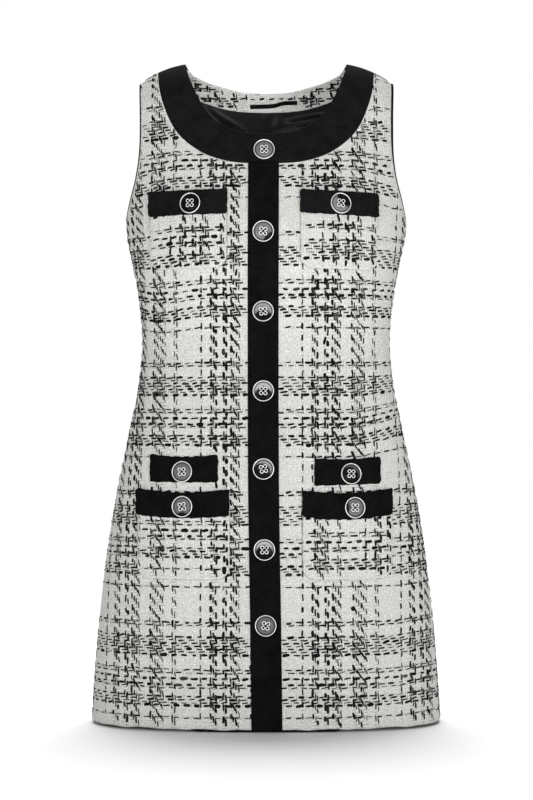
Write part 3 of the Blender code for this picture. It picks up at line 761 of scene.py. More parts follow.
def fill_mesh(points, faces, **values):
    """Make a mesh from points, arrays of faces of one size and named values for each point."""
    mesh = bpy.data.meshes.new("cloth")
    loops = np.concatenate([group.reshape(-1) for group in faces])
    sizes = np.concatenate([np.full(len(group), group.shape[1]) for group in faces])
    mesh.vertices.add(len(points))
    mesh.vertices.foreach_set("co", np.ascontiguousarray(points, np.float32).reshape(-1))
    mesh.loops.add(len(loops))
    mesh.loops.foreach_set("vertex_index", loops.astype(np.int32))
    mesh.polygons.add(len(sizes))
    mesh.polygons.foreach_set("loop_start", (np.cumsum(sizes) - sizes).astype(np.int32))
    mesh.update(calc_edges=True)
    for title, numbers in values.items():
        kind, field = ("FLOAT", "value") if numbers.ndim == 1 else ("FLOAT_VECTOR", "vector")
        mesh.attributes.new(title, kind, "POINT").data.foreach_set(
            field, numbers.astype(np.float32).reshape(-1))
    mesh.shade_smooth()
    return mesh


def new_object(name, data):
    """Add an object to the scene, its data under the same name."""
    data.name = name
    made = bpy.data.objects.new(name, data)
    bpy.context.scene.collection.objects.link(made)
    return made


def add_piece(name, mesh, looks, replaced=(), matrix=None):
    """Add a mesh to the scene as a piece that rides on the garment's body."""
    for look in looks:
        mesh.materials.append(bpy.data.materials[look])
    piece = new_object(name, mesh)
    if matrix is not None:
        piece.matrix_world = matrix
    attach(piece, BODY)
    if replaced:
        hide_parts(*replaced)
    return piece


def add_cloth(name, shape, look):
    """Add the cloth that stands for a solid. shape is its mesh and its flat size."""
    mesh, flat = shape
    return add_piece(name + "_cloth", mesh, [look], [name]), flat


def wall_mesh(faces, outer, inner, normals, cloth=None):
    """Make a closed wall with rounded rims. faces run anticlockwise seen from outside."""
    count = len(outer)
    edges = boundary_edges(faces)
    along = np.zeros((count, 3))
    for column in (0, 1):
        np.add.at(along, edges[:, column], outer[edges[:, 1]] - outer[edges[:, 0]])
    rim = np.unique(edges)
    outwards = unit(np.cross(along[rim], normals[rim]))
    thickness = np.linalg.norm(outer[rim] - inner[rim], axis=1, keepdims=True)
    middle = (outer[rim] + inner[rim]) / 2 + outwards * thickness * RIM_BULGE
    place = np.full(count, -1)
    place[rim] = np.arange(len(rim)) + 2 * count
    start, end = edges.T
    outer_rim = np.stack([end, start, place[start], place[end]], axis=1)
    inner_rim = np.stack([place[end], place[start], start + count, end + count], axis=1)
    quads = np.concatenate([faces, faces[:, ::-1] + count, outer_rim, inner_rim])
    values = {} if cloth is None else {"cloth": np.concatenate([cloth, cloth, cloth[rim]])}
    return fill_mesh(np.concatenate([outer, inner, middle]), [quads], **values)


def grid_size(places):
    """Return the greatest length of a grid's rows and of its columns, along the cloth."""
    across = np.linalg.norm(np.diff(places, axis=1), axis=2).sum(axis=1).max()
    along = np.linalg.norm(np.diff(places, axis=0), axis=2).sum(axis=0).max()
    return float(across), float(along)


def grid_layers(around, z, face, on_seam, depth, thickness, cut):
    """Return a wall's outer and inner points, their normals and the flat size of the cloth.

    depth is how far the outer points lie under the surface. Those on_seam keep clear of the other
    face of the dress. With a cut the yarn counts follow the normals.
    """
    place, normal = skin(around, z, face)
    place[on_seam, 1] = TOWARDS[face] * SEAM / 2
    normal[on_seam, 1] = 0
    normal = unit(normal)
    layers = [place - normal * depth, place - normal * (depth + thickness), normal]
    if cut:
        layers.append(yarn_counts(around, z, face, cut))
    return layers, grid_size(place)


def panel(face, rows, columns, thickness, rise_at, depth_at, cut=None):
    """Return a whole panel's mesh, made from the row ends of half of it, and its flat size.

    rise_at lifts the points at x, z. depth_at says how far under the surface they lie, from their
    shares of the way up and out to the side and from x, z.
    """
    around, z = half_grid(rows, columns)
    z = z + rise_at(across_at(around, z), z)
    last_row = len(around) - 1
    up, out = np.meshgrid(np.arange(last_row + 1) / last_row, np.arange(columns + 1) / columns,
                          indexing="ij")
    underarm = last_row - NECK_ROWS - CHEST_ROWS + CHEST_ROWS_ON_SIDE
    on_seam = np.zeros(around.shape, bool)
    on_seam[:underarm + 1, -1] = True
    on_seam[-1] = True
    halves = []
    for side in (1, -1):
        depth = depth_at(up, out, across_at(side * around, z), z)[..., None]
        layers, (across, along) = grid_layers(side * around, z, face, on_seam, depth, thickness, cut)
        halves.append(layers)
    index = np.arange(around.size).reshape(around.shape)
    other = index + around.size
    other[:last_row - NECK_ROWS + 1, 0] = index[:last_row - NECK_ROWS + 1, 0]
    left, right = grid_faces(index), grid_faces(other)
    faces = np.concatenate([left, right[:, ::-1]] if face == "front" else [left[:, ::-1], right])
    used, fresh = np.unique(faces, return_inverse=True)
    layers = [np.concatenate(pair).reshape(-1, 3)[used] for pair in zip(*halves)]
    return wall_mesh(fresh.reshape(faces.shape), *layers), (2 * across, along)


def grid_wall(x, z, face, lift, thickness, flipped=False, ends_on_seam=False, cut=None):
    """Return a wall over a grid of places, its lower side at a lift, and its flat size."""
    on_seam = np.zeros(x.shape, bool)
    on_seam[[0, -1]] = ends_on_seam
    layers, flat = grid_layers(angle_around(x, z), z, face, on_seam, -lift - thickness, thickness,
                               cut)
    faces = grid_faces(np.arange(x.size).reshape(x.shape))
    layers = [layer.reshape(-1, 3) for layer in layers]
    return wall_mesh(faces[:, ::-1] if flipped else faces, *layers), flat


def neck_strip(face, start_edge, end_edge, lift, cut=None):
    """Return a tweed-thick strip that follows the neck between two edges, and its flat size."""
    start, end = (np.concatenate([edge[:0:-1] * (-1, 1), edge]) for edge in (start_edge, end_edge))
    share = np.arange(BAND_COLUMNS + 1) / BAND_COLUMNS
    x = start[:, :1] + (end[:, :1] - start[:, :1]) * share
    z = start[:, 1:] + (end[:, 1:] - start[:, 1:]) * share
    z[[0, -1]] = shoulder_height(x[[0, -1]])
    return grid_wall(x, z, face, lift, TWEED, face == "back", True, cut)


def corner_pull(corner, over):
    """Return how far a rounded corner draws the side in, over being how far past its start."""
    return corner - np.sqrt(corner ** 2 - np.clip(over, 0, corner) ** 2)


def patch_sag(patch, spot, rise):
    """Return how far a patch sags at shares of its width and height."""
    sag = patch.bottom_dip + (patch.top_dip - patch.bottom_dip) * rise
    return sag * np.sin(math.pi * spot)


def patch_grid(patch, cell, corner, top_corner):
    """Return x and z over a patch, in columns from its inner edge and rows from its foot."""
    width = patch.outer - patch.inner
    height = patch.top - patch.bottom
    columns = round(width / cell)
    eased = 1 - np.cos(np.linspace(0, math.pi / 2, CORNER_ROWS + 1)[:-1])
    steps = round((height - corner - top_corner) / cell)
    levels = [corner * eased, np.linspace(corner, height - top_corner, steps + 1)]
    if top_corner:
        levels.append(height - top_corner * eased[::-1])
    level = np.concatenate(levels)[:, None]
    pull = corner_pull(corner, corner - level)
    pull = pull + corner_pull(top_corner, top_corner - height + level)
    share = np.arange(columns + 1) / columns
    x = patch.inner + pull + (width - 2 * pull) * share
    spot = (x - patch.inner) / width
    z = patch.bottom + level - patch.drop * spot - patch_sag(patch, spot, level / height)
    return patch.side * x, z


def inside_patch(patch, x, z, margin):
    """Return which points lie inside a patch, at least a margin from its edge."""
    across = x * patch.side
    height = patch.top - patch.bottom
    spot = np.clip((across - patch.inner) / (patch.outer - patch.inner), 0, 1)
    base = z - patch.bottom + patch.drop * spot
    level = base + patch_sag(patch, spot, np.clip(base / height, 0, 1))
    pull = corner_pull(patch.corner, patch.corner - level)
    return ((across > patch.inner + pull + margin) & (across < patch.outer - pull - margin)
            & (level > margin) & (level < height - margin))


def ragged(along, across, seed):
    """Return small uneven steps along an edge. across is -1 and 1 at the two edges."""
    wave = sum(size * np.sin(along / step + seed * turn) for size, step, turn in RAG_WAVES)
    return wave * np.clip((np.abs(across) - RAG_START) / (1 - RAG_START), 0, 1)


# Floats: the stretches of black yarn that show on the face of the twill. Each is a spindle of
# rings of points between two tips. RINGS are their places along it and their sizes.
RINGS = ((-0.84, 0.66), (-0.42, 1.0), (0.42, 1.0), (0.84, 0.66))
RING_SIDES = 5
RING_TWIST = 0.25
FLOAT_RISE = 0.00038
FLOAT_SINK = 0.00052
FLOAT_HEIGHT = 0.00074
FLOAT_BEND = 0.00022
# Typical unevenness of a float's length, width, lean, places beside and along it, and rings.
LENGTH_SPREAD = 0.14
WIDTH_SPREAD = 0.22
LEAN_SPREAD = 0.08
BESIDE_SPREAD = 0.00025
ALONG_SPREAD = 0.0003
RING_SPREAD = 0.16
# The share of its half length at which both ends of a float have to lie on the cloth.
FLOAT_TESTED = 0.7
# The yarns look finer where the sides turn away, from an across place over a reach.
SIDE_FINE = 0.22
SIDE_START = 0.12
SIDE_REACH = 0.08
WEFT_LEAN = 0.07
# How much more the leaning warps lean on each diagonal, so that some run on as one line.
DIAGONAL_LEANS = RANDOM.choice([0.5, 0.8, 1.0, 1.3, 1.6, 2.4], size=64)
DIAGONAL_STRETCH = 0.07
# Only the floats that lie furthest beside their yarn's line are faded.
FADE_RISE = 0.35
FADE_START = 0.3


def float_table(kind, cut, low, high):
    """Return own and crossed count, width and lean of each float in a box of cloth places."""
    warps = sorted((place - cut.across) / WARP_PITCH for place in (low[0], high[0]))
    wefts = sorted((cut.height - place) / WEFT_PITCH for place in (low[1], high[1]))
    own, others = (warps, wefts) if kind == "warp" else (wefts, warps)
    yarns = YARNS[kind]
    rows = []
    for start in range(math.floor(own[0] / yarns.repeat) * yarns.repeat, math.ceil(own[1]),
                       yarns.repeat):
        for number, (width, lean) in yarns.black.items():
            number += start
            if own[0] <= number <= own[1]:
                first = number + yarns.over
                first += TWILL * math.ceil((others[0] - first) / TWILL)
                rows += [(number + 0.5, crossed, width, lean)
                         for crossed in range(first, math.floor(others[1]) + 1, TWILL)]
    return np.array(rows)


def float_layout(kind, face, cut, box, keep, bold):
    """Return centres, directions, half lengths, half widths and draws of the floats that show."""
    own, crossed, width, yarn_lean = float_table(kind, cut, *box).T
    draws = RANDOM.normal(size=(len(own), 6))
    half = YARNS[kind].crossed_pitch * YARNS[kind].length * (1 + LENGTH_SPREAD * draws[:, 0])
    wide = width / 2 * bold * YARNS[kind].bold * (1 + WIDTH_SPREAD * draws[:, 1])
    lean = yarn_lean + LEAN_SPREAD * draws[:, 2]
    beside, ahead = BESIDE_SPREAD * draws[:, 3], ALONG_SPREAD * draws[:, 4]
    if kind == "warp":
        diagonal = np.floor((crossed - own) / TWILL).astype(int) % len(DIAGONAL_LEANS)
        lean += yarn_lean * (DIAGONAL_LEANS[diagonal] - 1)
        half *= 1 + DIAGONAL_STRETCH * (DIAGONAL_LEANS[diagonal] - 1)
        across = cut.across + own * WARP_PITCH + beside
        height = cut.height - crossed * WEFT_PITCH + ahead
        along = np.stack([np.sin(lean), -np.cos(lean)], axis=1)
    else:
        across = cut.across + crossed * WARP_PITCH + ahead
        height = cut.height - own * WEFT_PITCH + beside
        along = np.stack([np.cos(lean + WEFT_LEAN), np.sin(lean + WEFT_LEAN)], axis=1)
    wide *= 1 - SIDE_FINE * np.clip((np.abs(across) - SIDE_START) / SIDE_REACH, 0, 1)
    centre = np.stack([across, height], axis=1)
    shown = floats_shown(centre, along, half, face, keep)
    return [part[shown] for part in (centre, along, half, wide, draws)]


def floats_shown(centre, along, half, face, keep):
    """Return which floats have both ends on the cloth, where keep lets them lie."""
    shown = np.ones(len(half), bool)
    for end in (-FLOAT_TESTED, FLOAT_TESTED):
        tip = centre + along * (half * end)[:, None]
        around, z, on_cloth = cloth_place(tip[:, 0], tip[:, 1], face)
        inside = np.abs(tip[:, 0]) < arc_total(z, face) - EDGE_MARGIN
        shown &= on_cloth & inside & keep(across_at(around, z), z)
    return shown


def float_points():
    """Return how far along, beside and over its middle each point of a float is, tip to tip."""
    spots, sizes = np.repeat(RINGS, RING_SIDES, axis=0).T
    turns = (np.arange(RING_SIDES) + RING_TWIST) * 2 * math.pi / RING_SIDES
    turns = np.tile(turns, len(RINGS))
    tips = np.array([[-1.0, 1.0], [0.0, 0.0], [0.0, 0.0]])
    rings = np.stack([spots, np.cos(turns) * sizes, np.sin(turns) * sizes])
    return np.concatenate([tips[:, :1], rings, tips[:, 1:]], axis=1)


def float_faces(flipped):
    """Return the triangles of one float."""
    ring = np.arange(RING_SIDES)
    after = (ring + 1) % RING_SIDES
    quads = ring_faces(len(RINGS), RING_SIDES) + 1
    last = 1 + RING_SIDES * (len(RINGS) - 1)
    start_fan = np.stack([0 * ring, 1 + after, 1 + ring], axis=1)
    end_fan = np.stack([0 * ring + last + RING_SIDES, last + ring, last + after], axis=1)
    faces = np.concatenate([start_fan, quads[:, :3], quads[:, [0, 2, 3]], end_fan])
    return faces[:, ::-1] if flipped else faces


def float_mesh(kind, face, cut, box, keep, base_lift, outward, bold):
    """Make the floats of one set of yarns. keep says where on the surface one can lie."""
    centre, along, half, wide, draws = float_layout(kind, face, cut, box, keep, bold)
    spots, sideways, upwards = float_points()
    uneven = 1 + RING_SPREAD * RANDOM.normal(size=(len(centre), len(spots)))
    bend = FLOAT_BEND * draws[:, 5:6] * (1 - spots * spots)
    beside = np.stack([-along[:, 1], along[:, 0]], axis=1)
    flat = (centre[:, None] + along[:, None] * (half[:, None] * spots)[..., None]
            + beside[:, None] * (wide[:, None] * sideways * uneven + bend)[..., None])
    lift = FLOAT_RISE - FLOAT_SINK * spots * spots + FLOAT_HEIGHT / 2 * upwards
    around, z, _ = cloth_place(flat[..., 0].reshape(-1), flat[..., 1].reshape(-1), face)
    place, _ = skin(around, z, face, np.tile(lift, len(centre)) * outward + base_lift)
    faces = float_faces((outward == 1) != (face == "front"))
    triangles = faces + np.arange(len(centre))[:, None, None] * len(spots)
    faded = np.clip(np.abs(draws[:, 3]) * FADE_RISE - FADE_START, 0, 1)
    return fill_mesh(place, [triangles.reshape(-1, 3)], shade=np.repeat(faded, len(spots)))


def add_yarns(name, face, cut, box, keep, lift, outward=1, bold=1.0):
    """Add the black yarns that show on a piece of tweed, first its warps and then its wefts."""
    return [add_piece(f"{name}_{kind}_yarns",
                      float_mesh(kind, face, cut, box, keep, lift, outward, bold),
                      ["black_yarn"]) for kind in YARNS]


# How far the ground's yarns stray, in yarns, the scale of the noise that moves them, and the
# radians of the trim's ribs to a metre.
WANDER = 0.8
WANDER_SCALE = 260.0
RIBS = 7500.0


def add(tree, kind, inputs=(), **settings):
    """Add a shader node, its inputs given as values or as sockets to link."""
    made = tree.nodes.new("ShaderNode" + kind)
    for key, value in settings.items():
        setattr(made, key, value)
    for spot, value in dict(inputs).items():
        if isinstance(value, bpy.types.NodeSocket):
            tree.links.new(value, made.inputs[spot])
        else:
            made.inputs[spot].default_value = value
    return made


def calc(tree, operation, *values):
    """Return the result of a Math node."""
    return add(tree, "Math", dict(enumerate(values)), operation=operation).outputs[0]


def vector_calc(tree, operation, first, second):
    """Return the result of a Vector Math node, whose second value can be a scale."""
    spot = "Scale" if operation == "SCALE" else 1
    return add(tree, "VectorMath", {0: first, spot: second}, operation=operation).outputs[0]


def weighted(tree, *terms):
    """Return the sum of values that come with their factors."""
    total = 0.0
    for value, factor in terms:
        total = calc(tree, "MULTIPLY_ADD", value, factor, total)
    return total


def ramp(tree, value, low, high):
    """Return how far a value has come on its way from low to high."""
    return add(tree, "MapRange", {"Value": value, "From Min": low, "From Max": high}).outputs[0]


def tone(level, blue=None):
    """Return a near grey colour."""
    return (level, level, level if blue is None else blue, 1)


def blend(tree, share, start, end):
    """Return a colour the share of the way from start to end."""
    return add(tree, "Mix", {"Factor": share, 6: start, 7: end}, data_type="RGBA").outputs[2]


def mix_value(tree, share, start, end):
    """Return a value the share of the way from start to end."""
    return add(tree, "Mix", {"Factor": share, 2: start, 3: end}).outputs[0]


def noise(tree, place, scale, detail=2.0):
    """Return the value of a noise texture."""
    return add(tree, "TexNoise", {"Vector": place, "Scale": scale, "Detail": detail}).outputs[0]


def attribute(tree, name, output="Fac"):
    """Return an attribute of the mesh."""
    return add(tree, "Attribute", attribute_name=name).outputs[output]


def new_material(name, roughness, specular=0.5, metallic=0.0):
    """Return a material's node tree and its places in object space."""
    material = bpy.data.materials.new(name)
    material.use_nodes = True
    tree = material.node_tree
    inputs = tree.nodes["Principled BSDF"].inputs
    inputs["Roughness"].default_value = roughness
    inputs["Specular IOR Level"].default_value = specular
    inputs["Metallic"].default_value = metallic
    return tree, add(tree, "TexCoord").outputs["Object"]


def finish_shader(tree, colour, height, distance):
    """Link a colour and a bump height to a material's shader."""
    inputs = tree.nodes["Principled BSDF"].inputs
    tree.links.new(colour, inputs["Base Color"])
    bump = add(tree, "Bump", {"Height": height, "Distance": distance, "Strength": 1.0})
    tree.links.new(bump.outputs[0], inputs["Normal"])


def speckled(tree, place, scale, detail, dark, pale, distance, over=None):
    """Give a material a tone and a bump that follow one noise, and an attribute's colour over it."""
    speck = noise(tree, place, scale, detail)
    colour = blend(tree, speck, dark, pale)
    if over:
        name, over_colour = over
        colour = blend(tree, attribute(tree, name), colour, over_colour)
    finish_shader(tree, colour, speck, distance)


def black_mask(tree, number, yarns):
    """Return 1 where the counted yarn is black."""
    share = calc(tree, "FRACT", calc(tree, "DIVIDE", calc(tree, "ADD", number, 0.5), yarns.repeat))
    colours = add(tree, "ValToRGB", {"Fac": share})
    stops = colours.color_ramp
    stops.interpolation = "CONSTANT"
    stops.elements.remove(stops.elements[1])
    stops.elements[0].color = tone(float(0 in yarns.black))
    for place in range(1, yarns.repeat):
        if (place in yarns.black) != (place - 1 in yarns.black):
            stops.elements.new(place / yarns.repeat).color = tone(float(place in yarns.black))
    return colours.outputs["Color"]


def yarn_profile(tree, count):
    """Return the height of a yarn across its width, and its number."""
    off = calc(tree, "SUBTRACT", calc(tree, "FRACT", count), 0.5)
    square = calc(tree, "MULTIPLY", off, calc(tree, "MULTIPLY", off, 4.0))
    return calc(tree, "SUBTRACT", 1.0, square), calc(tree, "FLOOR", count)


def tweed_material():
    """Make the ivory twill ground. Its attribute counts the yarns, so each one is shaped."""
    tree, place = new_material("ivory_twill", roughness=0.92, specular=0.12)
    wander = add(tree, "TexNoise", {"Vector": place, "Scale": WANDER_SCALE}).outputs["Color"]
    wander = vector_calc(tree, "SUBTRACT", wander, (0.5, 0.5, 0.5))
    shift = vector_calc(tree, "SCALE", wander, WANDER)
    moved = vector_calc(tree, "ADD", attribute(tree, "cloth", "Vector"), shift)
    split = add(tree, "SeparateXYZ", {0: moved}).outputs
    warp_height, warp = yarn_profile(tree, split[0])
    weft_height, weft = yarn_profile(tree, split[1])
    order = calc(tree, "FLOORED_MODULO", calc(tree, "SUBTRACT", warp, weft), float(TWILL))
    warp_up = calc(tree, "LESS_THAN", order, (TWILL - 1) / 2)
    woven = mix_value(tree, warp_up, weft_height, warp_height)
    below = mix_value(tree, warp_up, black_mask(tree, warp, YARNS["warp"]),
                      black_mask(tree, weft, YARNS["weft"]))
    fuzz, slub, curl = (noise(tree, place, scale, detail)
                        for scale, detail in ((1500.0, 3.0), (480.0, 3.0), (900.0, 2.0)))
    height = weighted(tree, (woven, 0.35), (fuzz, 1.2), (slub, 3.0), (curl, 1.6))
    warm = blend(tree, ramp(tree, slub, 0.32, 0.68), tone(0.37, 0.345), tone(0.80, 0.775))
    pale = blend(tree, ramp(tree, curl, 0.35, 0.65), tone(0.40, 0.375), tone(0.84, 0.815))
    # Where the woven height is low, between yarns, the colour turns to painted shade: a dim ivory,
    # and a dark grey where a black yarn lies below, partly its own black and partly painted shade.
    gap_shade_and_black = blend(tree, below, tone(0.54, 0.515), tone(0.20, 0.19))
    colour = blend(tree, ramp(tree, woven, 0.10, 0.50), gap_shade_and_black, blend(tree, 0.5, warm, pale))
    finish_shader(tree, colour, height, distance=0.0005)


def yarn_material():
    """Make the black slub yarn."""
    speckled(*new_material("black_yarn", roughness=0.9, specular=0.05), scale=3000.0, detail=3.0,
             dark=tone(0.003), pale=tone(0.010), distance=0.0003, over=("shade", tone(0.09, 0.085)))


def band_material(name, low, high):
    """Make black woven trim whose threads run from a low tone to a high one."""
    tree, place = new_material(name, roughness=0.85, specular=0.03)
    split = add(tree, "SeparateXYZ", {0: place}).outputs
    rib, cross = (calc(tree, "SINE", calc(tree, "MULTIPLY", split[axis], RIBS)) for axis in (2, 0))
    fuzz, slub, cloud = (noise(tree, place, scale, detail)
                         for scale, detail in ((2200.0, 3.0), (620.0, 3.0), (60.0, 2.0)))
    height = weighted(tree, (calc(tree, "MULTIPLY", rib, cross), 0.25), (fuzz, 1.0))
    share = ramp(tree, weighted(tree, (slub, 1.0), (cloud, 0.5)), 0.5, 1.0)
    colour = blend(tree, share, tone(low, low * 1.08), tone(high, high * 1.08))
    finish_shader(tree, colour, height, distance=0.0002)


def satin_material():
    """Make the black satin of the lining."""
    tree, place = new_material("black_satin", roughness=0.32, specular=0.08)
    stretched = add(tree, "Mapping", {"Vector": place, "Scale": (900.0, 900.0, 90.0)}).outputs[0]
    colour = blend(tree, noise(tree, place, scale=25.0), tone(0.003, 0.004), tone(0.006, 0.007))
    finish_shader(tree, colour, noise(tree, stretched, scale=1.0), distance=0.00008)


def metal_material(name, roughness, metallic, low, high):
    """Make the pale metal of the buttons' rims or eyelets, a trace warm."""
    speckled(*new_material(name, roughness, metallic=metallic), scale=400.0, detail=2.0,
             dark=tone(low, low * 0.99), pale=tone(high, high * 0.99), distance=0.000005)


def face_material():
    """Make the glossy dark face of the buttons."""
    # The attribute laid over the dark face paints a pale reflection of the studio onto it.
    speckled(*new_material("button_face", roughness=0.2, specular=0.05), scale=500.0, detail=3.0,
             dark=tone(0.002, 0.0022), pale=tone(0.006, 0.0065), distance=0.00001,
             over=("shine", tone(1.0)))


def thread_material():
    """Make the twisted black thread that sews a button on."""
    speckled(*new_material("black_thread", roughness=0.8, specular=0.1), scale=4000.0, detail=2.0,
             dark=tone(0.003), pale=tone(0.010), distance=0.0001)


def floor_material():
    """Make the plain pale floor."""
    speckled(*new_material("pale_floor", roughness=0.9, specular=0.1), scale=3.0, detail=2.0,
             dark=tone(0.905), pale=tone(0.925), distance=0.0001)


def make_materials():
    """Make every material of the scene."""
    floor_material()
    tweed_material()
    yarn_material()
    satin_material()
    band_material("black_trim", low=0.0025, high=0.0115)
    band_material("deep_trim", low=0.0010, high=0.0070)
    face_material()
    metal_material("rim_metal", roughness=0.35, metallic=0.4, low=0.86, high=0.98)
    thread_material()
    metal_material("eyelet_metal", roughness=0.45, metallic=0.3, low=0.84, high=0.97)


# Camera, floor and lights.
CAMERA_PLACE = (0.0006, -3.4, -0.4125)
VIEW_HEIGHT = 1.0296
SENSOR = 36.0
FLOOR_HEIGHT = -0.8256
FLOOR_REACH = 12.0
BACKGROUND = 1.0
WORLD_LIGHT = 0.24
SUN_POWER = 3.2
SUN_SPREAD = 48
SUN_TILT = -30
SOFTBOXES = table(
    "name place aim width height power",
    ("key", (-0.9, -2.9, 0.15), (0.0, 0.0, -0.50), 1.8, 0.4, 31.5),
    ("fill", (1.2, -3.0, -0.54), (0.0, 0.0, -0.66), 1.4, 0.5, 46.0),
    ("inner_neck", (0.0, -0.045, -0.135), (0.0, 0.06, -0.02), 0.16, 0.03, 0.095),
)


def add_camera():
    """Add the camera, level and straight in front."""
    data = bpy.data.cameras.new("camera")
    data.sensor_width = SENSOR
    data.lens = SENSOR * -CAMERA_PLACE[1] / VIEW_HEIGHT
    camera = new_object("camera", data)
    camera.location = CAMERA_PLACE
    camera.rotation_euler = (math.pi / 2, 0, 0)
    bpy.context.scene.camera = camera


def add_floor():
    """Add the floor, which is no part of the dress."""
    corners = np.array([(-1, -1, 0), (1, -1, 0), (1, 1, 0), (-1, 1, 0)]) * FLOOR_REACH
    corners[:, 2] = FLOOR_HEIGHT
    mesh = fill_mesh(corners, [np.array([[0, 1, 2, 3]])])
    mesh.materials.append(bpy.data.materials["pale_floor"])
    new_object("floor", mesh)


def add_surround():
    """Make the world white to the camera and a dim light to the dress."""
    world = bpy.data.worlds.new("studio")
    bpy.context.scene.world = world
    world.use_nodes = True
    tree = world.node_tree
    seen = add(tree, "LightPath").outputs["Is Camera Ray"]
    background = tree.nodes["Background"].inputs
    tree.links.new(mix_value(tree, seen, WORLD_LIGHT, BACKGROUND), background["Strength"])
    background["Color"].default_value = (1, 1, 1, 1)


def add_softbox(row):
    """Add a soft rectangular light that points at its aim."""
    light = bpy.data.lights.new(row.name, "AREA")
    light.shape = "RECTANGLE"
    light.size, light.size_y, light.energy = row.width, row.height, row.power
    lamp = new_object(row.name, light)
    lamp.visible_camera = False
    lamp.location = row.place
    aim = np.array(row.aim) - np.array(row.place)
    lamp.rotation_euler = (math.acos(-aim[2] / np.linalg.norm(aim)), 0,
                           math.atan2(aim[1], aim[0]) - math.pi / 2)


def add_sun():
    """Add the wide light from above."""
    light = bpy.data.lights.new("overhead", "SUN")
    light.energy = SUN_POWER
    light.angle = math.radians(SUN_SPREAD)
    new_object("overhead", light).rotation_euler = (math.radians(SUN_TILT), 0, 0)


def hem_rise(x, z):
    """Return how far the tweed's hem strays from level."""
    wave = sum(size * (1 + np.sin(x / step + turn)) for size, step, turn in HEM_WAVES)
    return wave * np.clip(1 - (z - HEM) / HEM_FADE, 0, 1)


def lining_rise(x, z):
    """Return how far the lining's hem is lifted, away from its low middle."""
    away = np.abs(x - LINING_DIP_MIDDLE) - LINING_DIP_REACH
    return (LINING_HEM_LIFT * np.clip(away / LINING_HEM_FADE, 0, 1)
            * np.clip(1 - (z - LINING_HEM) / LINING_HEM_FADE, 0, 1))


def below_edge(edge, x, z, margin):
    """Return which points lie below a neck edge by at least a margin."""
    line = np.interp(np.abs(x), edge[:, 0], edge[:, 1])
    return (z < line - margin) | (np.abs(x) > edge[-1, 0] + margin)


def add_body(face):
    """Add the front or back of the dress with the black yarns that no other piece covers."""
    neck = neck_edge(face, "outer")
    rows = row_ends(neck_inset(neck, SEAM), armhole_edge(face, CLOTH_EDGE), HEM)
    shape = panel(face, rows, PANEL_COLUMNS, TWEED, hem_rise, lambda up, out, x, z: 0 * x, CUTS[face])
    piece, flat = add_cloth(face, shape, "ivory_twill")
    arm = armhole_edge(face, BINDING_WIDTH)
    covers = POCKETS + POCKET_BANDS + UPPER_BANDS if face == "front" else []

    def keep(x, z):
        arm_x = np.interp(z, arm[:, 1], arm[:, 0], left=1.0)
        shown = below_edge(neck, x, z, EDGE_MARGIN) & (np.abs(x) < arm_x - EDGE_MARGIN)
        shown &= z > HEM + EDGE_MARGIN
        if face == "front":
            shown &= np.abs(x - lean_at(z)) > PLACKET_WIDTH / 2 - TUCKED
        for patch in covers:
            shown &= ~inside_patch(patch, x, z, TUCKED)
        return shown

    yarns = add_yarns(face, face, CUTS[face], BODY_BOX, keep, 0.0)


def add_binding(name, side):
    """Add the rolled binding that closes an armhole's edge, a ring through front and back."""
    places, normals = [], []
    for face, order in (("front", slice(None)), ("back", slice(-2, 0, -1))):
        edges = np.stack([armhole_edge(face), armhole_edge(face, BINDING_WIDTH)], axis=1)
        place, normal = surface(edges[..., 0], edges[..., 1], face)
        if face == "front":
            place[[0, -1], :, 1] = 0
            normal[[0, -1], :, 1] = 0
        places.append(place[order])
        normals.append(unit(normal)[order])
    places, normals = np.concatenate(places), np.concatenate(normals).mean(axis=1)
    centre = places.mean(axis=1) + normals * (BINDING_PROUD - BINDING_DEPTH / 2)
    across = (places[:, 0] - places[:, 1]) / 2
    turns = np.arange(BINDING_SIDES) * 2 * math.pi / BINDING_SIDES
    level, rise = (signed_power(part, BINDING_BOXINESS)[:, None]
                   for part in (np.cos(turns), np.sin(turns)))
    faded = np.clip((centre[:, 2] - SWELL_END) / SWELL_FADE, 0, 1)
    swell = 1 + BINDING_SWELL[side] * faded[:, None, None]
    points = (centre[:, None] + across[:, None] * (swell * (level + 1) - 1)
              + (normals * BINDING_DEPTH / 2)[:, None] * swell * rise)
    points[..., 0] *= side
    faces = ring_faces(len(points), BINDING_SIDES, True)
    mesh = fill_mesh(points.reshape(-1, 3), [faces if side == 1 else faces[:, ::-1]])
    return add_piece(name + "_cloth", mesh, ["deep_trim"], [name])


def add_neck_band(face):
    """Add the band round the front or the back of the neck."""
    shape = neck_strip(face, neck_edge(face, "inner"), neck_edge(face, "outer"), -TWEED)
    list(add_cloth(f"neck_band_{face}", shape, "black_trim"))


def add_facing():
    """Add the tweed facing inside the back neck, its black yarns and the hanger loop."""
    top, end = facing_edges()
    lift = -FACING_DEPTH - TWEED
    shape = neck_strip("back", top, end, lift, CUTS["facing"])
    piece, flat = add_cloth("back_neck_facing", shape, "ivory_twill")

    def keep(x, z):
        pale = (x > FACING_PALE[0]) & (x < FACING_PALE[1]) & (z < FACING_PALE_TOP)
        under_loop = (np.abs(x - LOOP_MIDDLE) < LOOP_HALF) & (z < LOOP_CLEAR)
        return (below_edge(top, x, z, EDGE_MARGIN) & ~below_edge(end, x, z, -EDGE_MARGIN)
                & (np.abs(x) < FACING_MARKED) & ~pale & ~under_loop)

    yarns = add_yarns("facing", "back", CUTS["facing"], FACING_BOX, keep, lift, -1, FACING_BOLD)
    yarns + [add_loop()]


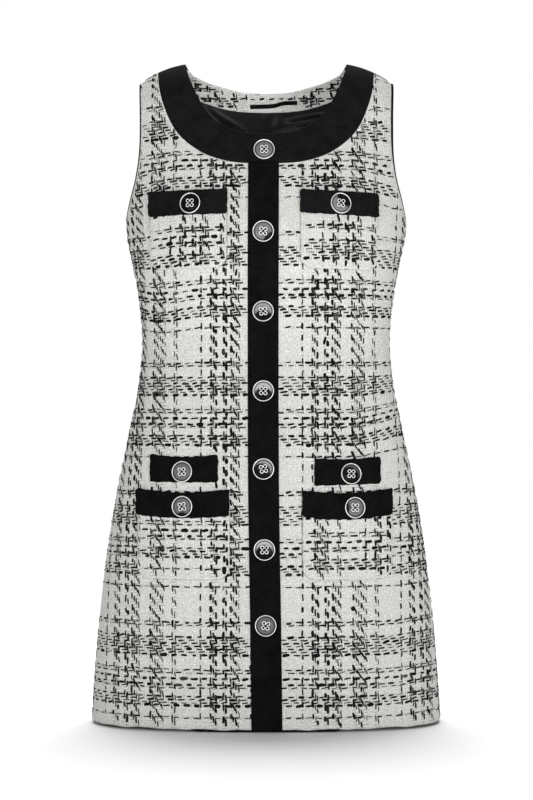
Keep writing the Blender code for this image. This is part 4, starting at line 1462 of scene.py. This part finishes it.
def add_loop():
    """Add the hanger loop, a narrow strip."""
    last = len(HANGER_LOOP) - 1
    spot = np.linspace(0, last, LOOP_STEPS + 1)[:, None] * np.ones(LOOP_COLUMNS + 1)
    x, z = (smooth_curve(range(last + 1), column)(spot) for column in zip(*HANGER_LOOP))
    z = z + LOOP_WIDTH * (np.arange(LOOP_COLUMNS + 1) / LOOP_COLUMNS - 0.5)
    lift = -(FACING_DEPTH + TWEED + OVERLAY_GAP + LINING_CLOTH)
    shape = grid_wall(x, z, "back", lift, LINING_CLOTH)
    return add_cloth("hanger_loop", shape, "deep_trim")[0]


def add_lining(face):
    """Add the satin lining of the front or the back."""
    if face == "front":
        neck, folds = neck_inset(neck_edge(face, "inner"), LINING_GAP), []
    else:
        neck, folds = neck_inset(facing_edges()[1], ARMHOLE_SEAM), LINING_FOLDS

    def depth_at(up, out, x, z):
        ease = LINING_EASE * np.sin(math.pi * up) * (1 - out)
        return TWEED + LINING_GAP + ease + relief(x, z, folds)

    rows = row_ends(neck, armhole_edge(face, CLOTH_EDGE + LINING_GAP), LINING_HEM)
    shape = panel(face, rows, LINING_COLUMNS[face], LINING_CLOTH, lining_rise, depth_at)
    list(add_cloth(f"lining_{face}", shape, "black_satin"))


def add_placket():
    """Add the band down the middle of the front."""
    across = PLACKET_WIDTH * (np.arange(PLACKET_COLUMNS + 1) / PLACKET_COLUMNS - 0.5)
    z = np.linspace(HEM, PLACKET_TOP, PLACKET_ROWS + 1)[:, None] + 0 * across
    shape = grid_wall(lean_at(z) + across, z, "front", OVERLAY_GAP, BAND_CLOTH)
    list(add_cloth("placket_band", shape, "deep_trim"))


def add_pocket(patch, cover):
    """Add a patch pocket and the black yarns that show below its band."""
    cut = CUTS[patch.name]
    x, z = patch_grid(patch, PATCH_CELL, patch.corner, 0.0)
    shape = grid_wall(x, z, "front", POCKET_LIFT, TWEED, patch.side == -1, cut=cut)
    piece, flat = add_cloth(patch.name, shape, "ivory_twill")

    def keep(x, z):
        return inside_patch(patch, x, z, EDGE_MARGIN) & ~inside_patch(cover, x, z, TUCKED)

    yarns = add_yarns(patch.name, "front", cut, POCKET_BOX, keep, POCKET_LIFT + TWEED)


def add_patch_band(patch, lift, look):
    """Add a black band across a pocket or above one, its edges slightly uneven."""
    x, z = patch_grid(patch, BAND_CELL, BAND_CORNER, BAND_CORNER)
    share_x = (x * patch.side - patch.inner) / (patch.outer - patch.inner) * 2 - 1
    share_z = (z - patch.bottom) / (patch.top - patch.bottom) * 2 - 1
    seed = patch.inner * RAG_SEED
    x, z = x + ragged(z, share_x, seed + RAG_UPRIGHT), z + ragged(x, share_z, seed)
    shape = grid_wall(x, z, "front", lift, BAND_CLOTH, patch.side == -1)
    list(add_cloth(patch.name, shape, look))


# Button sizes. Profiles are rows of radius and height.
BUTTON_SIDES = 56
BUTTON_LOOKS = ("button_face", "rim_metal", "black_thread", "eyelet_metal")
HOLES = [(x, y) for x in (-0.00260, 0.00260) for y in (-0.00285, 0.00285)]
HOLE_SIDES = 20
DRILL_PROFILE = ((0.0, -0.001), (0.00120, -0.001), (0.00120, 0.006), (0.0, 0.006))
WELD = 0.00001
EYELET_RADIUS = 0.00205
EYELET_WIRE = 0.00044
EYELET_SIDES = 24
EYELET_LEVEL = 0.0032
THREAD_RADIUS = 0.00042
THREAD_STEPS = 13
THREAD_FOOT = 0.0008
THREAD_ARCH = 0.0028
THREAD_CROSSING = 0.0004
THREAD_BOXINESS = 6
TUBE_SIDES = 8
FACE_RADIUS = 0.0116
# Softness of the painted reflection's edge on a button face, and its strength in rings out from the
# centre.
REFLECTION_BLUR = 0.18
REFLECTION_RINGS = ((0.0060, 0.75), (0.0085, 1.25), (0.0098, 1.0), (0.0108, 0.3))
SHARP_DEGREES = 50
BODY_PROFILE = (
    (0.0, 0.0), (0.0112, 0.0), (0.0125, 0.0005), (0.0127, 0.0014),
    (0.0121, 0.0026), (0.0114, 0.0022), (0.0106, 0.0017), (0.0099, 0.0019), (0.0093, 0.0023),
    (0.0084, 0.0026), (0.0070, 0.00285), (0.0050, 0.0031), (0.0028, 0.00323), (0.0, 0.00328),
)
RIM_RADIUS = 0.01269
RIM_LEVEL = 0.0025
RIM_HALF_WIDTH = 0.00056
RIM_HALF_HEIGHT = 0.0011
RIM_STEPS = 16
RIM_PROFILE = [
    (RIM_RADIUS + RIM_HALF_WIDTH * math.cos(angle), RIM_LEVEL + RIM_HALF_HEIGHT * math.sin(angle))
    for angle in np.linspace(0, -2 * math.pi, RIM_STEPS, endpoint=False)
]


def lathe(profile, sides, closed=False):
    """Return points and quads of a turned shape."""
    turns = np.arange(sides) * 2 * math.pi / sides
    radius, height = np.array(profile).T[:, :, None]
    points = np.stack([radius * np.cos(turns), radius * np.sin(turns), height + 0 * turns], axis=-1)
    return points.reshape(-1, 3), ring_faces(len(profile), sides, closed)


def tube(path, radius, closed):
    """Return points and quads of a tube along a path."""
    run = np.roll(path, -1, axis=0) - np.roll(path, 1, axis=0) if closed else neighbours(path)
    run = unit(run)
    side = unit(np.cross(run, (0.0, 0.0, 1.0)))
    up = np.cross(side, run)
    turns = (np.arange(TUBE_SIDES) * 2 * math.pi / TUBE_SIDES)[:, None]
    ring = path[:, None] + radius * (side[:, None] * np.cos(turns) + up[:, None] * np.sin(turns))
    return ring.reshape(-1, 3), ring_faces(len(path), TUBE_SIDES, closed)


def welded(points, quads):
    """Add a working object whose doubled points are merged."""
    made = new_object("blank", fill_mesh(points, [quads]))
    made.modifiers.new("weld", "WELD").merge_threshold = WELD
    return made


def drilled_body():
    """Return points and triangles of a button's body with its four holes."""
    body = welded(*lathe(BODY_PROFILE, BUTTON_SIDES))
    rings, quads = lathe(DRILL_PROFILE, HOLE_SIDES)
    drills = [welded(rings + (x, y, 0), quads) for x, y in HOLES]
    for drill in drills:
        body.modifiers.new("hole", "BOOLEAN").object = drill
    graph = bpy.context.evaluated_depsgraph_get()
    mesh = bpy.data.meshes.new_from_object(body.evaluated_get(graph))
    for item in [body] + drills:
        bpy.data.objects.remove(item, do_unlink=True)
    mesh.calc_loop_triangles()
    return (np.array([vertex.co for vertex in mesh.vertices]),
            np.array([triangle.vertices for triangle in mesh.loop_triangles]))


def eyelets():
    """Return points and quads of the metal ring round each hole."""
    turns = np.arange(EYELET_SIDES) * 2 * math.pi / EYELET_SIDES
    rings = [np.stack([x + EYELET_RADIUS * np.cos(turns), y + EYELET_RADIUS * np.sin(turns),
                       np.full(EYELET_SIDES, EYELET_LEVEL)], axis=1) for x, y in HOLES]
    return [tube(ring, EYELET_WIRE, True) for ring in rings]


def threads():
    """Return points and quads of the two threads that cross between the holes."""
    steps = np.linspace(-1, 1, THREAD_STEPS)
    x, y = HOLES[-1]
    arch = THREAD_FOOT + THREAD_ARCH * (1 - steps ** THREAD_BOXINESS)
    paths = [np.stack([steps * x, steps * y * slant, arch + THREAD_CROSSING * (slant == 1)], axis=1)
             for slant in (1, -1)]
    return [tube(path, THREAD_RADIUS, False) for path in paths]


def button_mesh():
    """Make one button and its points, its back at z = 0 and its face towards +Z."""
    parts = [("button_face", drilled_body()), ("rim_metal", lathe(RIM_PROFILE, BUTTON_SIDES, True))]
    parts += [("eyelet_metal", eyelet) for eyelet in eyelets()]
    parts += [("black_thread", thread) for thread in threads()]
    places, faces, slots, count = [], [], [], 0
    for look, (points, polygons) in parts:
        places.append(points)
        faces.append(polygons + count)
        slots += [BUTTON_LOOKS.index(look)] * len(polygons)
        count += len(points)
    mesh = fill_mesh(np.concatenate(places), faces)
    for look in BUTTON_LOOKS:
        mesh.materials.append(bpy.data.materials[look])
    mesh.polygons.foreach_set("material_index", slots)
    mesh.set_sharp_from_angle(angle=math.radians(SHARP_DEGREES))
    return mesh, np.concatenate(places)


def paint_reflection(row, points):
    """Return how pale the painted reflection makes the face of a button at its points."""
    angle = math.radians(row.side - row.turn)
    shift = 2 * row.reach * FACE_RADIUS
    away = np.hypot(points[:, 0] + shift * math.cos(angle), points[:, 1] + shift * math.sin(angle))
    radii, levels = zip(*REFLECTION_RINGS)
    rings = np.interp(np.hypot(points[:, 0], points[:, 1]), radii, levels)
    return row.shine * rings * np.clip((away / FACE_RADIUS - 1) / REFLECTION_BLUR + 0.5, 0, 1)


def add_buttons():
    """Seat a button at each place in BUTTONS, its back parallel to the cloth."""
    plain, points = button_mesh()
    for row in BUTTONS:
        # Each button's face gets its own painted reflection, stored as a point attribute.
        mesh = plain.copy()
        mesh.attributes.new("shine", "FLOAT", "POINT").data.foreach_set(
            "value", paint_reflection(row, points).astype(np.float32))
        x, z = np.array([row.x]), np.array([row.z])
        place, normal = skin(angle_around(x, z), z, "front", SEATS[row.seat])
        side = unit(np.cross((0.0, 0.0, 1.0), normal[0]))
        up = np.cross(normal[0], side)
        cosine, sine = math.cos(math.radians(row.turn)), math.sin(math.radians(row.turn))
        matrix = np.eye(4)
        matrix[:3] = np.stack([side * cosine + up * sine, up * cosine - side * sine, normal[0],
                               place[0]], axis=1)
        add_piece(row.name + "_detail", mesh, (), [row.name], Matrix(matrix.tolist()))


def main():
    """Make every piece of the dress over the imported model."""
    make_materials()
    add_camera()
    add_floor()
    add_surround()
    for row in SOFTBOXES:
        add_softbox(row)
    add_sun()
    bpy.context.scene.view_settings.view_transform = "Standard"
    bindings = [add_binding("armhole_binding_left", 1), add_binding("armhole_binding_right", -1)]
    add_body("front")
    add_body("back")
    add_neck_band("front")
    add_neck_band("back")
    add_facing()
    add_lining("front")
    add_lining("back")
    add_placket()
    for patch, cover in zip(POCKETS, POCKET_BANDS):
        add_pocket(patch, cover)
        add_patch_band(cover, POCKET_BAND_LIFT,
                       "black_trim" if "chest" in patch.name else "deep_trim")
    for patch in UPPER_BANDS:
        add_patch_band(patch, OVERLAY_GAP, "deep_trim")
    add_buttons()


main()
